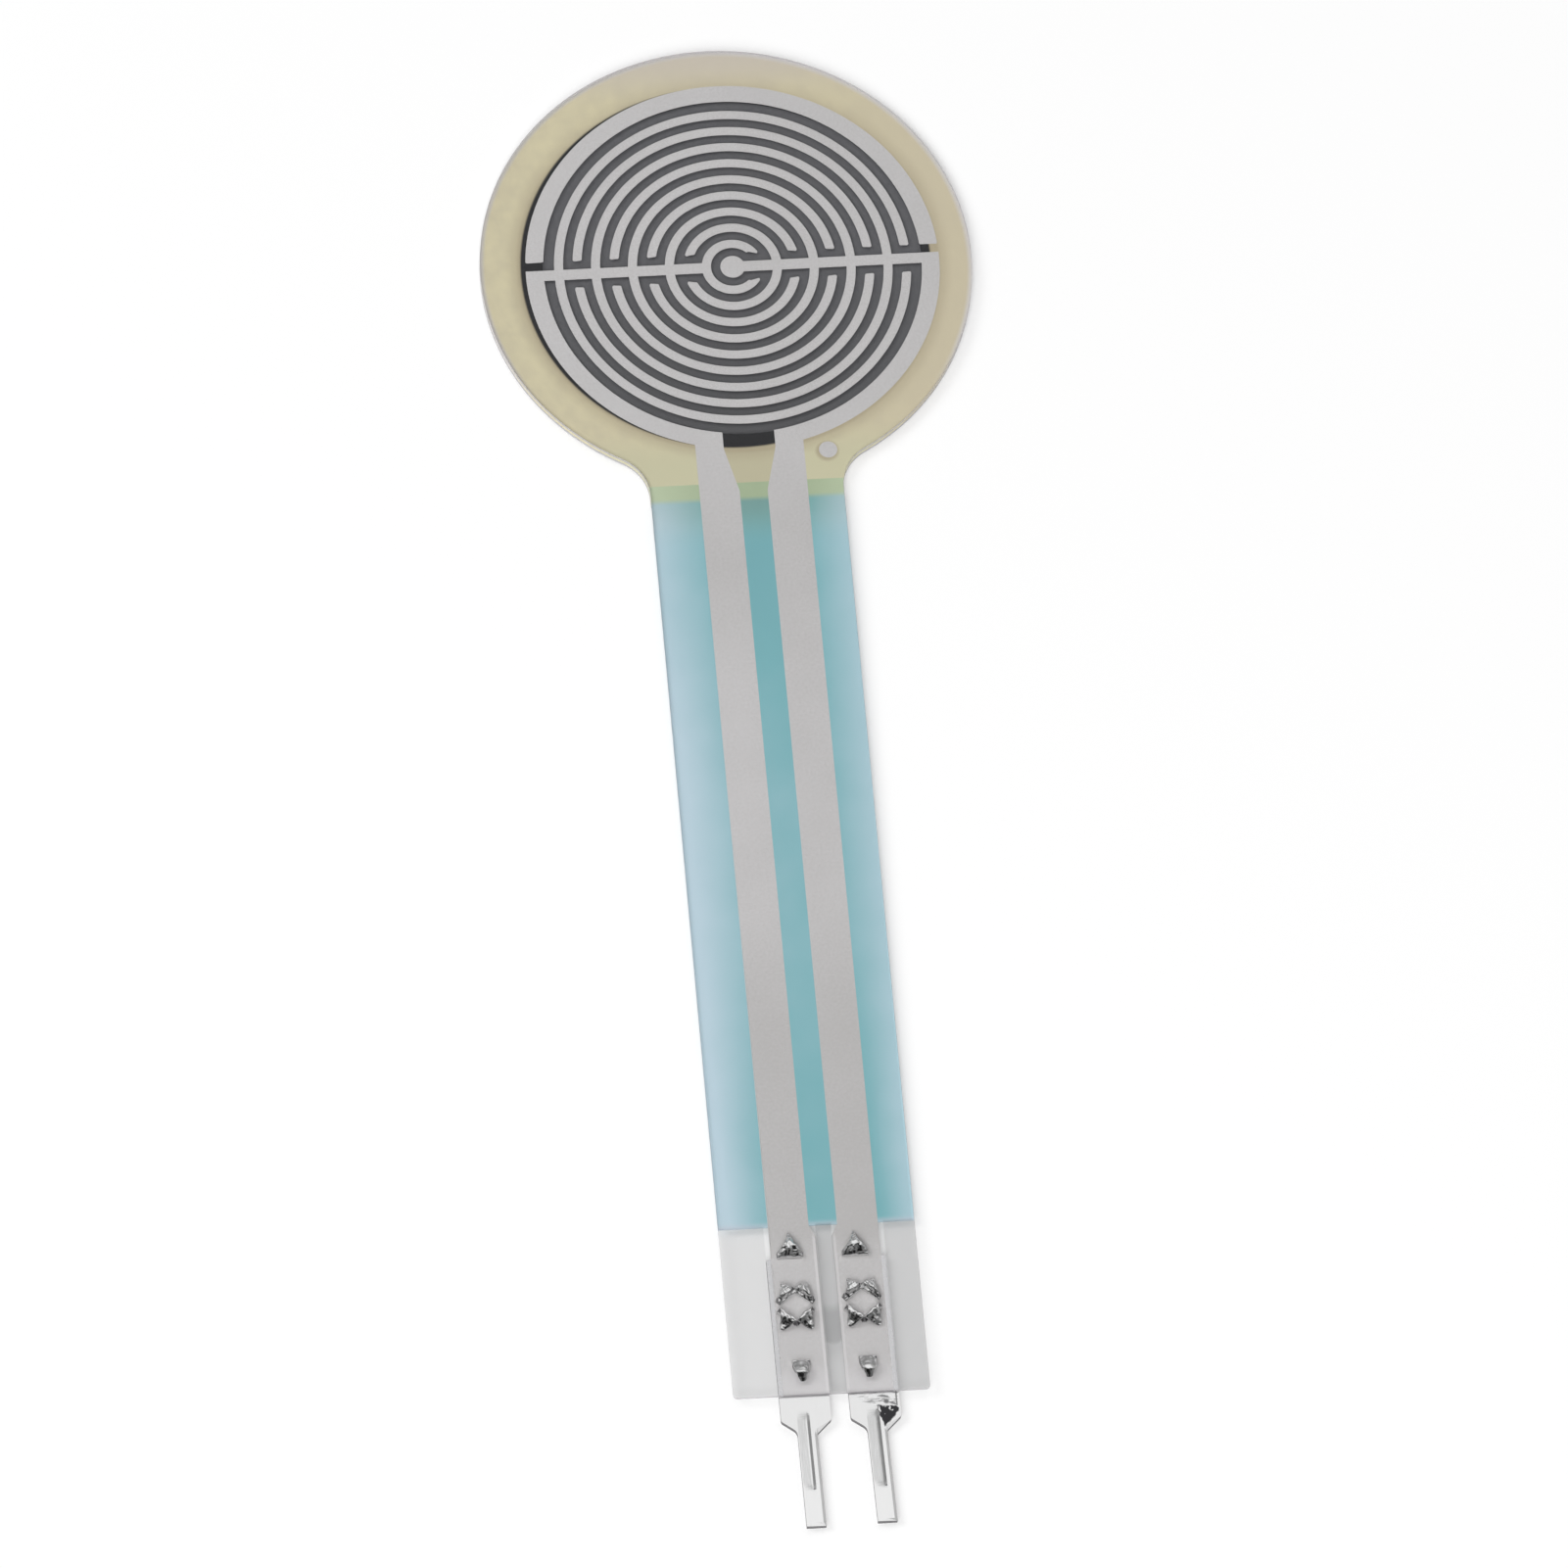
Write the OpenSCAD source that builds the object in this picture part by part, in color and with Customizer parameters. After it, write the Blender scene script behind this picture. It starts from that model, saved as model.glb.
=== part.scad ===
// Round thin-film force sensing resistor with a flat tail and two crimped solder pins.
// The part lies flat: the origin is under the middle of the round head, on the back of
// the back film. +Z points to the sensing face and the tail runs along -Y.

/* [Electrode print] */
// Number of finger rings between the centre dot and the outer ring
ring_count = 9; // [5:1:12]
// Distance from one finger ring to the next
ring_pitch = 0.69; // [0.6:0.01:0.9]
// Width of a finger ring
line_w = 0.34; // [0.2:0.01:0.45]
// Radius of the centre dot
dot_r = 0.46; // [0.3:0.02:0.8]
// Width of the two spines that feed the finger rings
spine_w = 0.43; // [0.25:0.01:0.6]
// Width of the outer ring
outer_w = 0.64; // [0.4:0.02:1]
// Bare gap between the last finger ring and the outer ring
outer_gap = 0.4; // [0.25:0.01:0.6]
// How far the print sits to the right of the cut outline
print_shift = 0.25; // [-0.3:0.05:0.3]
// Thickness of the silver ink
silver_t = 0.02; // [0.01:0.005:0.03]

/* [Film and adhesive] */
// Width of the sealed rim between the carbon disc and the edge of the head
rim_w = 1.45; // [1:0.05:3]
// Thickness of the front film
film_t = 0.13; // [0.1:0.01:0.25]
// Thickness of the back film
back_t = 0.13; // [0.1:0.01:0.25]
// Thickness of the adhesive between the two films
spacer_t = 0.15; // [0.12:0.01:0.25]
// Length of the neck that the back film and the adhesive cover, from the edge of the head
neck_l = 0.7; // [0.5:0.05:3]
// How far the air cavity reaches under the outer ring
cavity_lap = 0.04; // [0:0.02:0.3]
// How far the carbon disc reaches past the outer ring
carbon_lap = 0.03; // [0:0.01:0.3]
// Thickness of the carbon ink
carbon_t = 0.02; // [0.01:0.005:0.03]

/* [Tail] */
// Distance from the middle of the head to the end of the tail
tail_l = 47; // [32:0.5:80]
// Width of the tail
tail_w = 7.2; // [6.4:0.1:9]
// Radius where the head runs into the tail
neck_r = 1.8; // [0.5:0.1:3]
// Radius of the two corners at the end of the tail
tail_corner_r = 0.15; // [0.05:0.05:1]
// How far the insulating coat reaches over the adhesive
coat_lap = 0.73; // [0.2:0.01:1.2]
// Length of bare film between the insulating coat and the end of the tail
bare_l = 6.9; // [6.3:0.1:9]
// Thickness of the insulating coat below the silver
coat_t = 0.02; // [0.01:0.005:0.03]

/* [Traces and pads] */
// Distance between the two traces, and between the two pins
pitch = 2.54; // [2.4:0.02:3]
// Width of a trace
trace_w = 1.5; // [1:0.05:1.7]
// Width of the bare window between the traces where they leave the outer ring
window_w = 1.93; // [1.4:0.05:2.2]
// Length over which a trace widens below the outer ring
trace_flare_l = 1.8; // [1:0.1:4]
// How much wider a pad is than its trace, all on the inner side
pad_extra = 0.23; // [0:0.01:0.3]
// Length over which a trace widens into its pad
pad_flare_l = 0.45; // [0.2:0.05:0.7]
// Radius of the loose printed dot beside the right trace
mark_r = 0.34; // [0.2:0.02:0.5]
// Distance from the edge of the right trace to the middle of the printed dot
mark_out = 0.89; // [0.7:0.01:1.2]
// Distance from the bottom of the outer ring to the middle of the printed dot
mark_drop = 0.23; // [0:0.01:0.6]

/* [Contacts] */
// Thickness of the metal strip
strip_t = 0.2; // [0.15:0.01:0.25]
// Width of the plate that lies behind a pad
plate_w = 1.84; // [1.7:0.02:2]
// Length of the plate behind the film
plate_in = 5.7; // [5.4:0.05:6]
// Length of the plate past the end of the tail
plate_out = 1; // [0.6:0.05:2]
// Width of a solder pin
pin_w = 0.75; // [0.5:0.01:1]
// Distance from the end of the tail to the tip of a pin
pin_l = 5.3; // [4.2:0.1:9]
// Rounding of the outer corners of the plate's shoulders
shoulder_r = 0.15; // [0.05:0.01:0.2]
// Rounding of the inner corners where the shoulders meet the pin
root_r = 0.25; // [0.05:0.01:0.3]
// Width of the stiffening groove along a pin
groove_w = 0.26; // [0.15:0.01:0.4]
// Depth of the stiffening groove
groove_d = 0.08; // [0.03:0.01:0.12]
// Distance from the end of the tail to the start of the groove
groove_start = 0.8; // [0.5:0.05:1.2]
// Length of the groove
groove_l = 2.95; // [2:0.05:3.2]

/* [Crimp tines] */
// Distance from the end of the tail to the middle of the six-sided window
window_up = 3.6; // [3.4:0.05:3.8]
// Width of the six-sided window that the four middle tines are bent out of
hex_w = 1.3; // [1.2:0.02:1.4]
// Height of the window's two upright sides
hex_side = 0.46; // [0.4:0.02:0.6]
// Height of the window from peak to peak
hex_h = 1.44; // [1.3:0.02:1.6]
// Width of a middle tine at its root
mid_root_w = 0.74; // [0.6:0.02:0.78]
// Sideways lean of a middle tine's tip towards the window's peak
tip_lean = 0.12; // [0:0.01:0.2]
// Width of the end tine at its root
end_root_w = 0.95; // [0.7:0.05:1.2]
// Width of the lower tine at its root
low_root_w = 0.64; // [0.5:0.02:0.8]
// Distance from the end of the tail to the root of the lower tine
low_up = 1.25; // [1.1:0.05:1.4]
// Inner radius of a tine's curl
curl_r = 0.05; // [0.03:0.01:0.1]
// Flat stretch on top of the curl of the end tine and the lower tine
curl_run = 0.42; // [0.1:0.01:0.5]
// Flat stretch on top of the curl of a middle tine
mid_run = 0.2; // [0.05:0.01:0.3]
// Width of a tine where it leaves the film, as a share of its root
crown_share = 0.9; // [0.6:0.05:1]
// Width of a tine's tip
tip_w = 0.08; // [0.04:0.01:0.2]
// Clearance of a tine in its slit in the film
slit_fit = 0.015; // [0.005:0.005:0.03]

/* [Hidden] */
$fn = 96;

// Heights of the layers above the back of the part
film_bot = back_t + spacer_t;
film_top = film_bot + film_t;
silver_bot = film_bot - silver_t;
coat_bot = silver_bot - coat_t;
plate_top = silver_bot;
plate_bot = plate_top - strip_t;

// Radii of the print and of the head
gap_w = ring_pitch - line_w;
first_r = dot_r + gap_w + line_w / 2;
last_r = first_r + (ring_count - 1) * ring_pitch;
outer_in = last_r + line_w / 2 + outer_gap;
outer_r = outer_in + outer_w;
cavity_r = outer_in + cavity_lap;
carbon_r = outer_r + carbon_lap;
head_r = carbon_r + rim_w;
tip_gap_y = spine_w / 2 + gap_w;

// Places along the tail
back_end = -(head_r + neck_l);
coat_top_y = back_end + coat_lap;
coat_end_y = -tail_l + bare_l;
flare_top = -outer_r;
flare_end = flare_top - trace_flare_l;
pad_full_y = coat_end_y - pad_flare_l;

// Edges of the right trace and pad, measured from the middle of the print
trace_out = pitch / 2 + trace_w / 2;
trace_in = pitch / 2 - trace_w / 2;
pad_in = trace_in - pad_extra;
pad_mid = pitch / 2;
trace_start = -sqrt(pow((outer_in + outer_r) / 2, 2) - pow(trace_out, 2));

// Places on a contact, whose own zero is the end of the tail
shoulder_drop = (plate_w - pin_w) / 2;
hex_slope = atan((hex_h - hex_side) / hex_w);
low_hole_h = 0.8;
root_tab = 0.05;
over = 0.5;
sunk = 0.998;
wide = 2 * head_r;

// Points of an arc that rounds the corner b between its neighbours a and c
function unit(v) = v / norm(v);
function corner(a, b, c, r, n = 5) =
    let (u = unit(a - b), w = unit(c - b))
    let (half = acos(u * w) / 2)
    let (mid = b + unit(u + w) * r / sin(half))
    let (from = b + u * r / tan(half) - mid, to = b + w * r / tan(half) - mid)
    [for (i = [0:n]) mid + r * unit(from * sin((1 - i / n) * (90 - half) * 2) +
                                    to * sin(i / n * (90 - half) * 2))];

// A polygon whose corners are given as [x, y, radius]
module rounded(pts) {
    n = len(pts);
    polygon([for (i = [0:n - 1])
        let (p = pts[i], a = pts[(i + n - 1) % n], c = pts[(i + 1) % n])
        each (p[2] > 0
            ? corner([a[0], a[1]], [p[0], p[1]], [c[0], c[1]], p[2])
            : [[p[0], p[1]]])]);
}

// Right-hand neck fillet, from the tail up to the head
function neck_arc(n = 8) =
    let (mid_x = tail_w / 2 + neck_r, mid_y = -sqrt(pow(head_r + neck_r, 2) - pow(mid_x, 2)))
    let (turn = atan(-mid_y / mid_x))
    [for (i = [0:n]) [mid_x - neck_r * cos(turn * i / n), mid_y + neck_r * sin(turn * i / n)]];

// Outline shared by every film: the round head, the neck fillets and the tail
module film_outline() {
    arc = neck_arc();
    last = len(arc) - 1;
    low = -tail_l;
    half_w = tail_w / 2;
    left_end = corner([-half_w, 0], [-half_w, low], [half_w, low], tail_corner_r);
    right_end = corner([-half_w, low], [half_w, low], [half_w, 0], tail_corner_r);
    circle(head_r);
    polygon(concat([[0, 0], [-arc[last][0], arc[last][1]] * sunk],
                   [for (i = [last - 1:-1:0]) [-arc[i][0], arc[i][1]]], left_end, right_end,
                   [for (i = [0:last - 1]) arc[i]], [arc[last] * sunk]));
}

// The part of the outline between two heights
module outline_between(y_low, y_high) {
    intersection() {
        film_outline();
        translate([-wide / 2, y_low]) square([wide, y_high - y_low]);
    }
}

module ring(r_in, r_out) {
    difference() {
        circle(r_out);
        circle(r_in);
    }
}

// One finger ring, open on the side of the other electrode's spine
module finger_ring(k) {
    mid_r = first_r + (k - 1) * ring_pitch;
    open_side = k % 2 == 1 ? 0 : -wide;
    difference() {
        ring(mid_r - line_w / 2, mid_r + line_w / 2);
        translate([open_side, -tip_gap_y]) square([wide, 2 * tip_gap_y]);
    }
}

// Lower quarter of the outer ring, its trace and its pad, on the right-hand side
module feed() {
    intersection() {
        ring(outer_in, outer_r);
        translate([window_w / 2, -wide]) square([wide, wide + spine_w / 2]);
    }
    polygon([[window_w / 2, trace_start], [window_w / 2, flare_top], [trace_in, flare_end],
             [trace_in, coat_end_y], [pad_in, pad_full_y], [pad_in, -tail_l],
             [trace_out, -tail_l], [trace_out, trace_start]]);
}

module left_print() {
    translate([print_shift, 0]) {
        mirror([1, 0]) feed();
        for (k = [1:2:ring_count]) finger_ring(k);
        translate([-(outer_in + outer_w / 2), -spine_w / 2])
            square([outer_in + outer_w / 2 - first_r, spine_w]);
    }
}

module right_print() {
    translate([print_shift, 0]) {
        feed();
        for (k = [2:2:ring_count]) finger_ring(k);
        translate([0, -spine_w / 2]) square([outer_in + outer_w / 2, spine_w]);
        circle(dot_r);
    }
}

module arc_print() {
    translate([print_shift, 0]) intersection() {
        ring(outer_in, outer_r);
        translate([-wide / 2, tip_gap_y]) square([wide, wide]);
    }
}

module mark_print() {
    translate([print_shift + trace_out + mark_out, -(outer_r + mark_drop)]) circle(mark_r);
}

// Lays a print on the inner side of the front film, thickened upwards for a recess
module inked(extra = 0) {
    translate([0, 0, silver_bot]) linear_extrude(silver_t + extra) children();
}

// Everything printed in silver, as one cutter
module silver_cutter() {
    inked(over) {
        left_print();
        right_print();
        arc_print();
        mark_print();
    }
}

module coat_block(extra = 0) {
    translate([0, 0, coat_bot]) linear_extrude(film_bot - coat_bot + extra)
        outline_between(coat_end_y, coat_top_y);
}

// Section of a tine across its root line: the bend out of the strip, the riser through
// the film and the curl over it. An end tine bends the other way out of the strip.
module tine_section(run, at_end) {
    bend_x = at_end ? -strip_t : 0;
    tab_x = at_end ? -strip_t - root_tab : 0;
    intersection() {
        translate([bend_x, plate_top]) circle(strip_t);
        translate([-strip_t, plate_bot]) square([strip_t, strip_t]);
    }
    translate([tab_x, plate_bot]) square([root_tab, strip_t]);
    translate([-strip_t, plate_top]) square([strip_t, film_top - plate_top]);
    translate([curl_r, film_top]) intersection() {
        ring(curl_r, curl_r + strip_t);
        translate([-over, 0]) square([over, over]);
    }
    translate([curl_r, film_top + curl_r]) square([run, strip_t]);
    translate([curl_r + run, film_top]) intersection() {
        ring(curl_r, curl_r + strip_t);
        square([over, over]);
    }
}

// One tine with its root line on X, curling towards +Y
module tine(root_w, run, lean = 0, at_end = false) {
    crown_w = root_w * crown_share;
    reach = 2 * curl_r + strip_t + run;
    crown_top = film_top + curl_r + strip_t;
    intersection() {
        rotate([90, 0, 90]) translate([0, 0, -root_w / 2]) linear_extrude(root_w)
            tine_section(run, at_end);
        rotate([90, 0, 0]) translate([0, 0, -reach - over]) linear_extrude(reach + 2 * over)
            polygon([[-root_w / 2, plate_bot], [root_w / 2, plate_bot],
                     [root_w / 2, plate_top], [crown_w / 2, film_top],
                     [crown_w / 2, crown_top], [-crown_w / 2, crown_top],
                     [-crown_w / 2, film_top], [-root_w / 2, plate_top]]);
        translate([0, 0, plate_bot]) linear_extrude(crown_top - plate_bot)
            polygon([[-root_w / 2, -strip_t - root_tab], [root_w / 2, -strip_t - root_tab],
                     [root_w / 2, 0], [lean + tip_w / 2, reach],
                     [lean - tip_w / 2, reach], [-root_w / 2, 0]]);
    }
}

// The slit that a tine's riser passes through
module slit(root_w) {
    translate([-root_w / 2 - slit_fit, -strip_t - slit_fit])
        square([root_w + 2 * slit_fit, strip_t + 2 * slit_fit]);
}

// Puts its child on one sloping side of the six-sided window, and on its three mirror images
module on_window_sides() {
    translate([0, window_up]) for (mx = [0, 1], my = [0, 1])
        mirror([mx, 0]) mirror([0, my])
            translate([-hex_w / 4, (hex_h + hex_side) / 4]) rotate(hex_slope) children();
}

module tine_slits() {
    on_window_sides() slit(mid_root_w);
    translate([0, plate_in]) slit(end_root_w);
    translate([0, low_up]) rotate(180) slit(low_root_w);
}

// Outline of a contact: the plate, its shoulders and the pin
module contact_outline() {
    w = plate_w / 2;
    p = pin_w / 2;
    difference() {
        rounded([[-w, plate_in - strip_t, 0], [-w, -plate_out, shoulder_r],
                 [-p, -plate_out - shoulder_drop, root_r], [-p, -pin_l, 0],
                 [p, -pin_l, 0], [p, -plate_out - shoulder_drop, root_r],
                 [w, -plate_out, shoulder_r], [w, plate_in - strip_t, 0]]);
        translate([0, window_up])
            polygon([[0, hex_h / 2], [-hex_w / 2, hex_side / 2], [-hex_w / 2, -hex_side / 2],
                     [0, -hex_h / 2], [hex_w / 2, -hex_side / 2], [hex_w / 2, hex_side / 2]]);
        translate([0, low_up])
            polygon([[-low_root_w / 2, 0], [low_root_w / 2, 0], [tip_w / 2, low_hole_h],
                     [-tip_w / 2, low_hole_h]]);
    }
}

// V-shaped groove in the upper face of a pin, with sloping ends
module pin_groove() {
    slope = groove_w / 2 / groove_d;
    depth = groove_d + over;
    translate([0, -groove_start, plate_top - groove_d]) intersection() {
        rotate([90, 0, 0]) linear_extrude(groove_l)
            polygon([[0, 0], [depth * slope, depth], [-depth * slope, depth]]);
        rotate([90, 0, 90]) translate([0, 0, -plate_w / 2]) linear_extrude(plate_w)
            polygon([[-groove_d, 0], [0, depth], [-groove_l, depth], [groove_d - groove_l, 0]]);
    }
}

module contact() {
    difference() {
        union() {
            translate([0, 0, plate_bot]) linear_extrude(strip_t) contact_outline();
            on_window_sides() tine(mid_root_w, mid_run, tip_lean);
            translate([0, plate_in, 0]) tine(end_root_w, curl_run, 0, true);
            translate([0, low_up, 0]) rotate(180) tine(low_root_w, curl_run);
        }
        pin_groove();
    }
}

// Places a contact, or its slits, behind the pad on one side
module at_pad(side) {
    translate([print_shift + side * pad_mid, -tail_l, 0]) children();
}

module both_slits() {
    for (side = [-1, 1]) at_pad(side) tine_slits();
}

module front_film() {
    color("#dfe3e6", 0.45) translate([0, 0, film_bot]) linear_extrude(film_t) difference() {
        film_outline();
        both_slits();
    }
}

module electrode_left() {
    color("#bebbba") inked() difference() {
        left_print();
        both_slits();
    }
}

module electrode_right() {
    color("#bebbba") inked() difference() {
        right_print();
        both_slits();
    }
}

module guard_arc() {
    color("#bebbba") inked() arc_print();
}

module register_mark() {
    color("#bebbba") inked() mark_print();
}

module insulation_coat() {
    color("#78b4bc") difference() {
        coat_block();
        silver_cutter();
    }
}

module spacer_adhesive() {
    color("#ccc4a5") difference() {
        translate([0, 0, back_t]) linear_extrude(spacer_t) outline_between(back_end, wide);
        translate([print_shift, 0, back_t - over]) cylinder(h = spacer_t + 2 * over, r = cavity_r);
        translate([0, 0, back_t - over]) cylinder(h = carbon_t + over, r = carbon_r);
        coat_block(over);
        silver_cutter();
    }
}

module carbon_disc() {
    color("#4a4b4d") translate([0, 0, back_t]) cylinder(h = carbon_t, r = carbon_r);
}

module back_film() {
    color("#d8d8d4") linear_extrude(back_t) outline_between(back_end, wide);
}

module contact_left() {
    color("#e6e6e6") at_pad(-1) contact();
}

module contact_right() {
    color("#e6e6e6") at_pad(1) contact();
}

front_film();
electrode_left();
electrode_right();
guard_arc();
register_mark();
insulation_coat();
spacer_adhesive();
carbon_disc();
back_film();
contact_left();
contact_right();
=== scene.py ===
import math
import bmesh
import bpy
from mathutils import Matrix, Vector, noise
from mathutils.geometry import delaunay_2d_cdt


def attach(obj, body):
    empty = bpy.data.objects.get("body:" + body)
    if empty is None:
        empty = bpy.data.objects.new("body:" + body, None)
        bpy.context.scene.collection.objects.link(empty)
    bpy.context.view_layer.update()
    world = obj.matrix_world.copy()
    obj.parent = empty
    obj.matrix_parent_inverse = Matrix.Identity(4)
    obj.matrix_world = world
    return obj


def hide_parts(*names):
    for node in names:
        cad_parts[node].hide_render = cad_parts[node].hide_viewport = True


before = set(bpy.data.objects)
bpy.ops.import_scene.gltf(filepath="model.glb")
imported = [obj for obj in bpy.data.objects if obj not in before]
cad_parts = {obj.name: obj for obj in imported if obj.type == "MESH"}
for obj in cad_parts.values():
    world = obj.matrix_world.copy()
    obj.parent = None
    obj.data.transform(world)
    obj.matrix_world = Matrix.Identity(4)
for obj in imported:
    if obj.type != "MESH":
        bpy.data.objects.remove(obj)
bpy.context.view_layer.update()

# Sizes are in millimetres, in the same frame as the CAD, and go to metres when a mesh is made
mm = 0.001

layers = {
    "backTop": 0.13,         # back film
    "printLow": 0.26,        # underside of the silver print
    "printTop": 0.281,
    "filmLow": 0.284,        # a few microns over the print, so that the two never share a face
    "filmTop": 0.41,
    "plateLow": 0.06,
    "plateTop": 0.259,
    "crownTop": 0.66,
}
outline = {
    "headR": 9.19,
    "tailEnd": -47.0,
    "tailHalf": 3.6,
    "neckR": 1.8,
    "cornerR": 0.15,
    "backEnd": -9.89,
    "coatTop": -9.16,
    "coatEnd": -40.1,
    "cavityR": 7.11,
    "carbonR": 7.74,
}
printing = {
    "shift": 0.25,
    "rings": 9,
    "firstR": 0.98,
    "pitch": 0.69,
    "lineW": 0.34,
    "dotR": 0.46,
    "spineW": 0.43,
    "tipGap": 0.565,
    "tipRound": 0.07,
    "outerIn": 7.07,
    "outerR": 7.74,
    "windowHalf": 0.965,
    "traceIn": 0.52,
    "traceOut": 2.02,
    "padIn": 0.29,
    "flareTop": -7.71,
    "flareEnd": -9.51,
    "padTop": -40.1,
    "padFull": -40.55,
    "edgeWander": 0.012,
}
contact = {
    "pitch": 2.54,
    "plateHalf": 0.92,
    "plateIn": 5.7,
    "shoulderY": -1.0,
    "pinHalf": 0.36,
    "pinTip": {-1: -5.28, 1: -5.22},
    "pinLean": {-1: 0.0047, 1: 0.0163},
    "shoulderR": 0.15,
    "rootR": 0.36,
    "dropLeft": 0.43,
    "dropRight": 0.54,
    "stripT": 0.2,
    "windowUp": 3.6,
    "hexW": 1.46,
    "hexSide": 0.42,
    "hexH": 1.56,
    "midRootW": 0.86,
    "endRootW": 0.95,
    "lowRootW": 0.64,
    "lowUp": 1.25,
    "lowHoleH": 0.8,
    "tipW": 0.08,
    "slitFit": 0.015,
    "edgeRound": 0.015,
    "lowGap": 0.06,
    "groove": {-1: ((-0.33, 0.0), (-0.02, 0.078), (0.03, 0.08), (0.125, 0.0)),
               1: ((-0.33, 0.0), (-0.03, 0.078), (0.025, 0.095), (0.13, 0.0))},
    "edgeFall": 0.03,
}


def linear(hexColour, alpha=1.0):
    parts = [int(hexColour[i:i + 2], 16) / 255 for i in (1, 3, 5)]
    return tuple(c / 12.92 if c <= 0.04045 else ((c + 0.055) / 1.055) ** 2.4 for c in parts) + (alpha,)


def addNode(tree, kind, inputs=(), **settings):
    node = tree.nodes.new(kind)
    for name, value in settings.items():
        setattr(node, name, value)
    for socket, value in inputs.items() if isinstance(inputs, dict) else enumerate(inputs):
        for item in value if isinstance(value, list) else [value]:
            if isinstance(item, bpy.types.Node):
                item = item.outputs[0]
            if isinstance(item, bpy.types.NodeSocket):
                tree.links.new(item, node.inputs[socket])
            else:
                node.inputs[socket].default_value = item
    return node


def newMaterial(name):
    material = bpy.data.materials.new(name)
    material.use_nodes = True
    tree = material.node_tree
    tree.nodes.clear()
    coords = addNode(tree, "ShaderNodeTexCoord")
    place = addNode(tree, "ShaderNodeMapping", {0: coords.outputs["Object"], "Scale": (1000, 1000, 1000)})
    return material, tree, place     # place gives millimetres


def finishMaterial(tree, skin):
    addNode(tree, "ShaderNodeOutputMaterial", [skin])


def meshObject(name, verts, faces, materials):
    mesh = bpy.data.meshes.new(name)
    mesh.from_pydata([Vector(v) * mm for v in verts], [], faces)
    mesh.validate()
    for material in materials:
        mesh.materials.append(material)
    piece = bpy.data.objects.new(name, mesh)
    bpy.context.scene.collection.objects.link(piece)
    return piece


def applied(piece):
    # The evaluated mesh takes the place of the live one, and the modifiers go
    bpy.context.view_layer.update()
    graph = bpy.context.evaluated_depsgraph_get()
    mesh = bpy.data.meshes.new_from_object(piece.evaluated_get(graph), depsgraph=graph)
    piece.modifiers.clear()
    old = piece.data
    piece.data = mesh
    bpy.data.meshes.remove(old)
    mesh.name = piece.name
    return piece


def rounded(a, b, c, radius, steps=6):
    # Points of an arc that rounds the corner b between a and c
    a, b, c = Vector(a), Vector(b), Vector(c)
    u, w = (a - b).normalized(), (c - b).normalized()
    half = math.acos(max(-1, min(1, u.dot(w)))) / 2
    middle = b + (u + w).normalized() * radius / math.sin(half)
    start, end = b + u * radius / math.tan(half) - middle, b + w * radius / math.tan(half) - middle
    turn = (math.pi / 2 - half) * 2
    return [tuple(middle + (start * math.sin(turn * (1 - i / steps)) + end * math.sin(turn * i / steps)).normalized() * radius)
            for i in range(steps + 1)]


def roundedLoop(corners, steps=6):
    points = []
    count = len(corners)
    for i, (x, y, radius) in enumerate(corners):
        if radius > 0:
            points += rounded(corners[i - 1][:2], (x, y), corners[(i + 1) % count][:2], radius, steps)
        else:
            points.append((x, y))
    return points


def filmOutline(cutAt=None):
    # Head circle, neck fillets and tail, anticlockwise from the right-hand neck
    head, neck, half = outline["headR"], outline["neckR"], outline["tailHalf"]
    midX = half + neck
    midY = -math.sqrt((head + neck) ** 2 - midX ** 2)
    turn = math.atan2(-midY, midX)
    arc = [(midX - neck * math.cos(turn * i / 24), midY + neck * math.sin(turn * i / 24)) for i in range(25)]
    start = math.atan2(arc[-1][1], arc[-1][0])
    sweep = math.pi - 2 * start
    circle = [(head * math.cos(start + sweep * i / 300), head * math.sin(start + sweep * i / 300)) for i in range(1, 300)]
    if cutAt is None:
        end = outline["tailEnd"]
        foot = rounded((-half, 0), (-half, end), (half, end), outline["cornerR"]) \
            + rounded((-half, end), (half, end), (half, 0), outline["cornerR"])
        return arc + circle + [(-x, y) for x, y in reversed(arc)] + foot
    kept = [p for p in arc if p[1] > cutAt + 0.01]
    edgeX = midX - math.sqrt(neck ** 2 - (cutAt - midY) ** 2) if cutAt > midY else half
    kept = [(edgeX, cutAt)] + kept
    return kept + circle + [(-x, y) for x, y in reversed(kept)]


def triangles(loops, inner=()):
    # Flat triangles inside the first loop and outside the others, with loose points between them
    verts, edges = [], []
    for loop in loops:
        first = len(verts)
        verts += [Vector(p) for p in loop]
        edges += [(first + i, first + (i + 1) % len(loop)) for i in range(len(loop))]
    verts += [Vector(p) for p in inner]
    flat = delaunay_2d_cdt(verts, edges, [], 2, 1e-6)
    return [tuple(v) for v in flat[0]], [tuple(f) for f in flat[2]]


def slab(name, loops, low, high, materials, inner=(), wall=0):
    # A closed sheet between two heights, which may be numbers or functions of the place
    points, faces = triangles(loops, inner)
    lowAt = low if callable(low) else lambda x, y: low
    highAt = high if callable(high) else lambda x, y: high
    count = len(points)
    verts = [(x, y, highAt(x, y)) for x, y in points] + [(x, y, lowAt(x, y)) for x, y in points]
    top = [f if turnsLeft([points[i] for i in f]) else tuple(reversed(f)) for f in faces]
    sides = {}
    for f in top:
        for i in range(3):
            a, b = f[i], f[(i + 1) % 3]
            if (b, a) in sides:
                del sides[(b, a)]
            else:
                sides[(a, b)] = True
    bottom = [tuple(i + count for i in reversed(f)) for f in top]
    walls = [(a, a + count, b + count, b) for a, b in sides]
    piece = meshObject(name, verts, top + bottom + walls, materials)
    for polygon in list(piece.data.polygons)[len(top) + len(bottom):]:
        polygon.material_index = wall
    return piece


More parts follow.
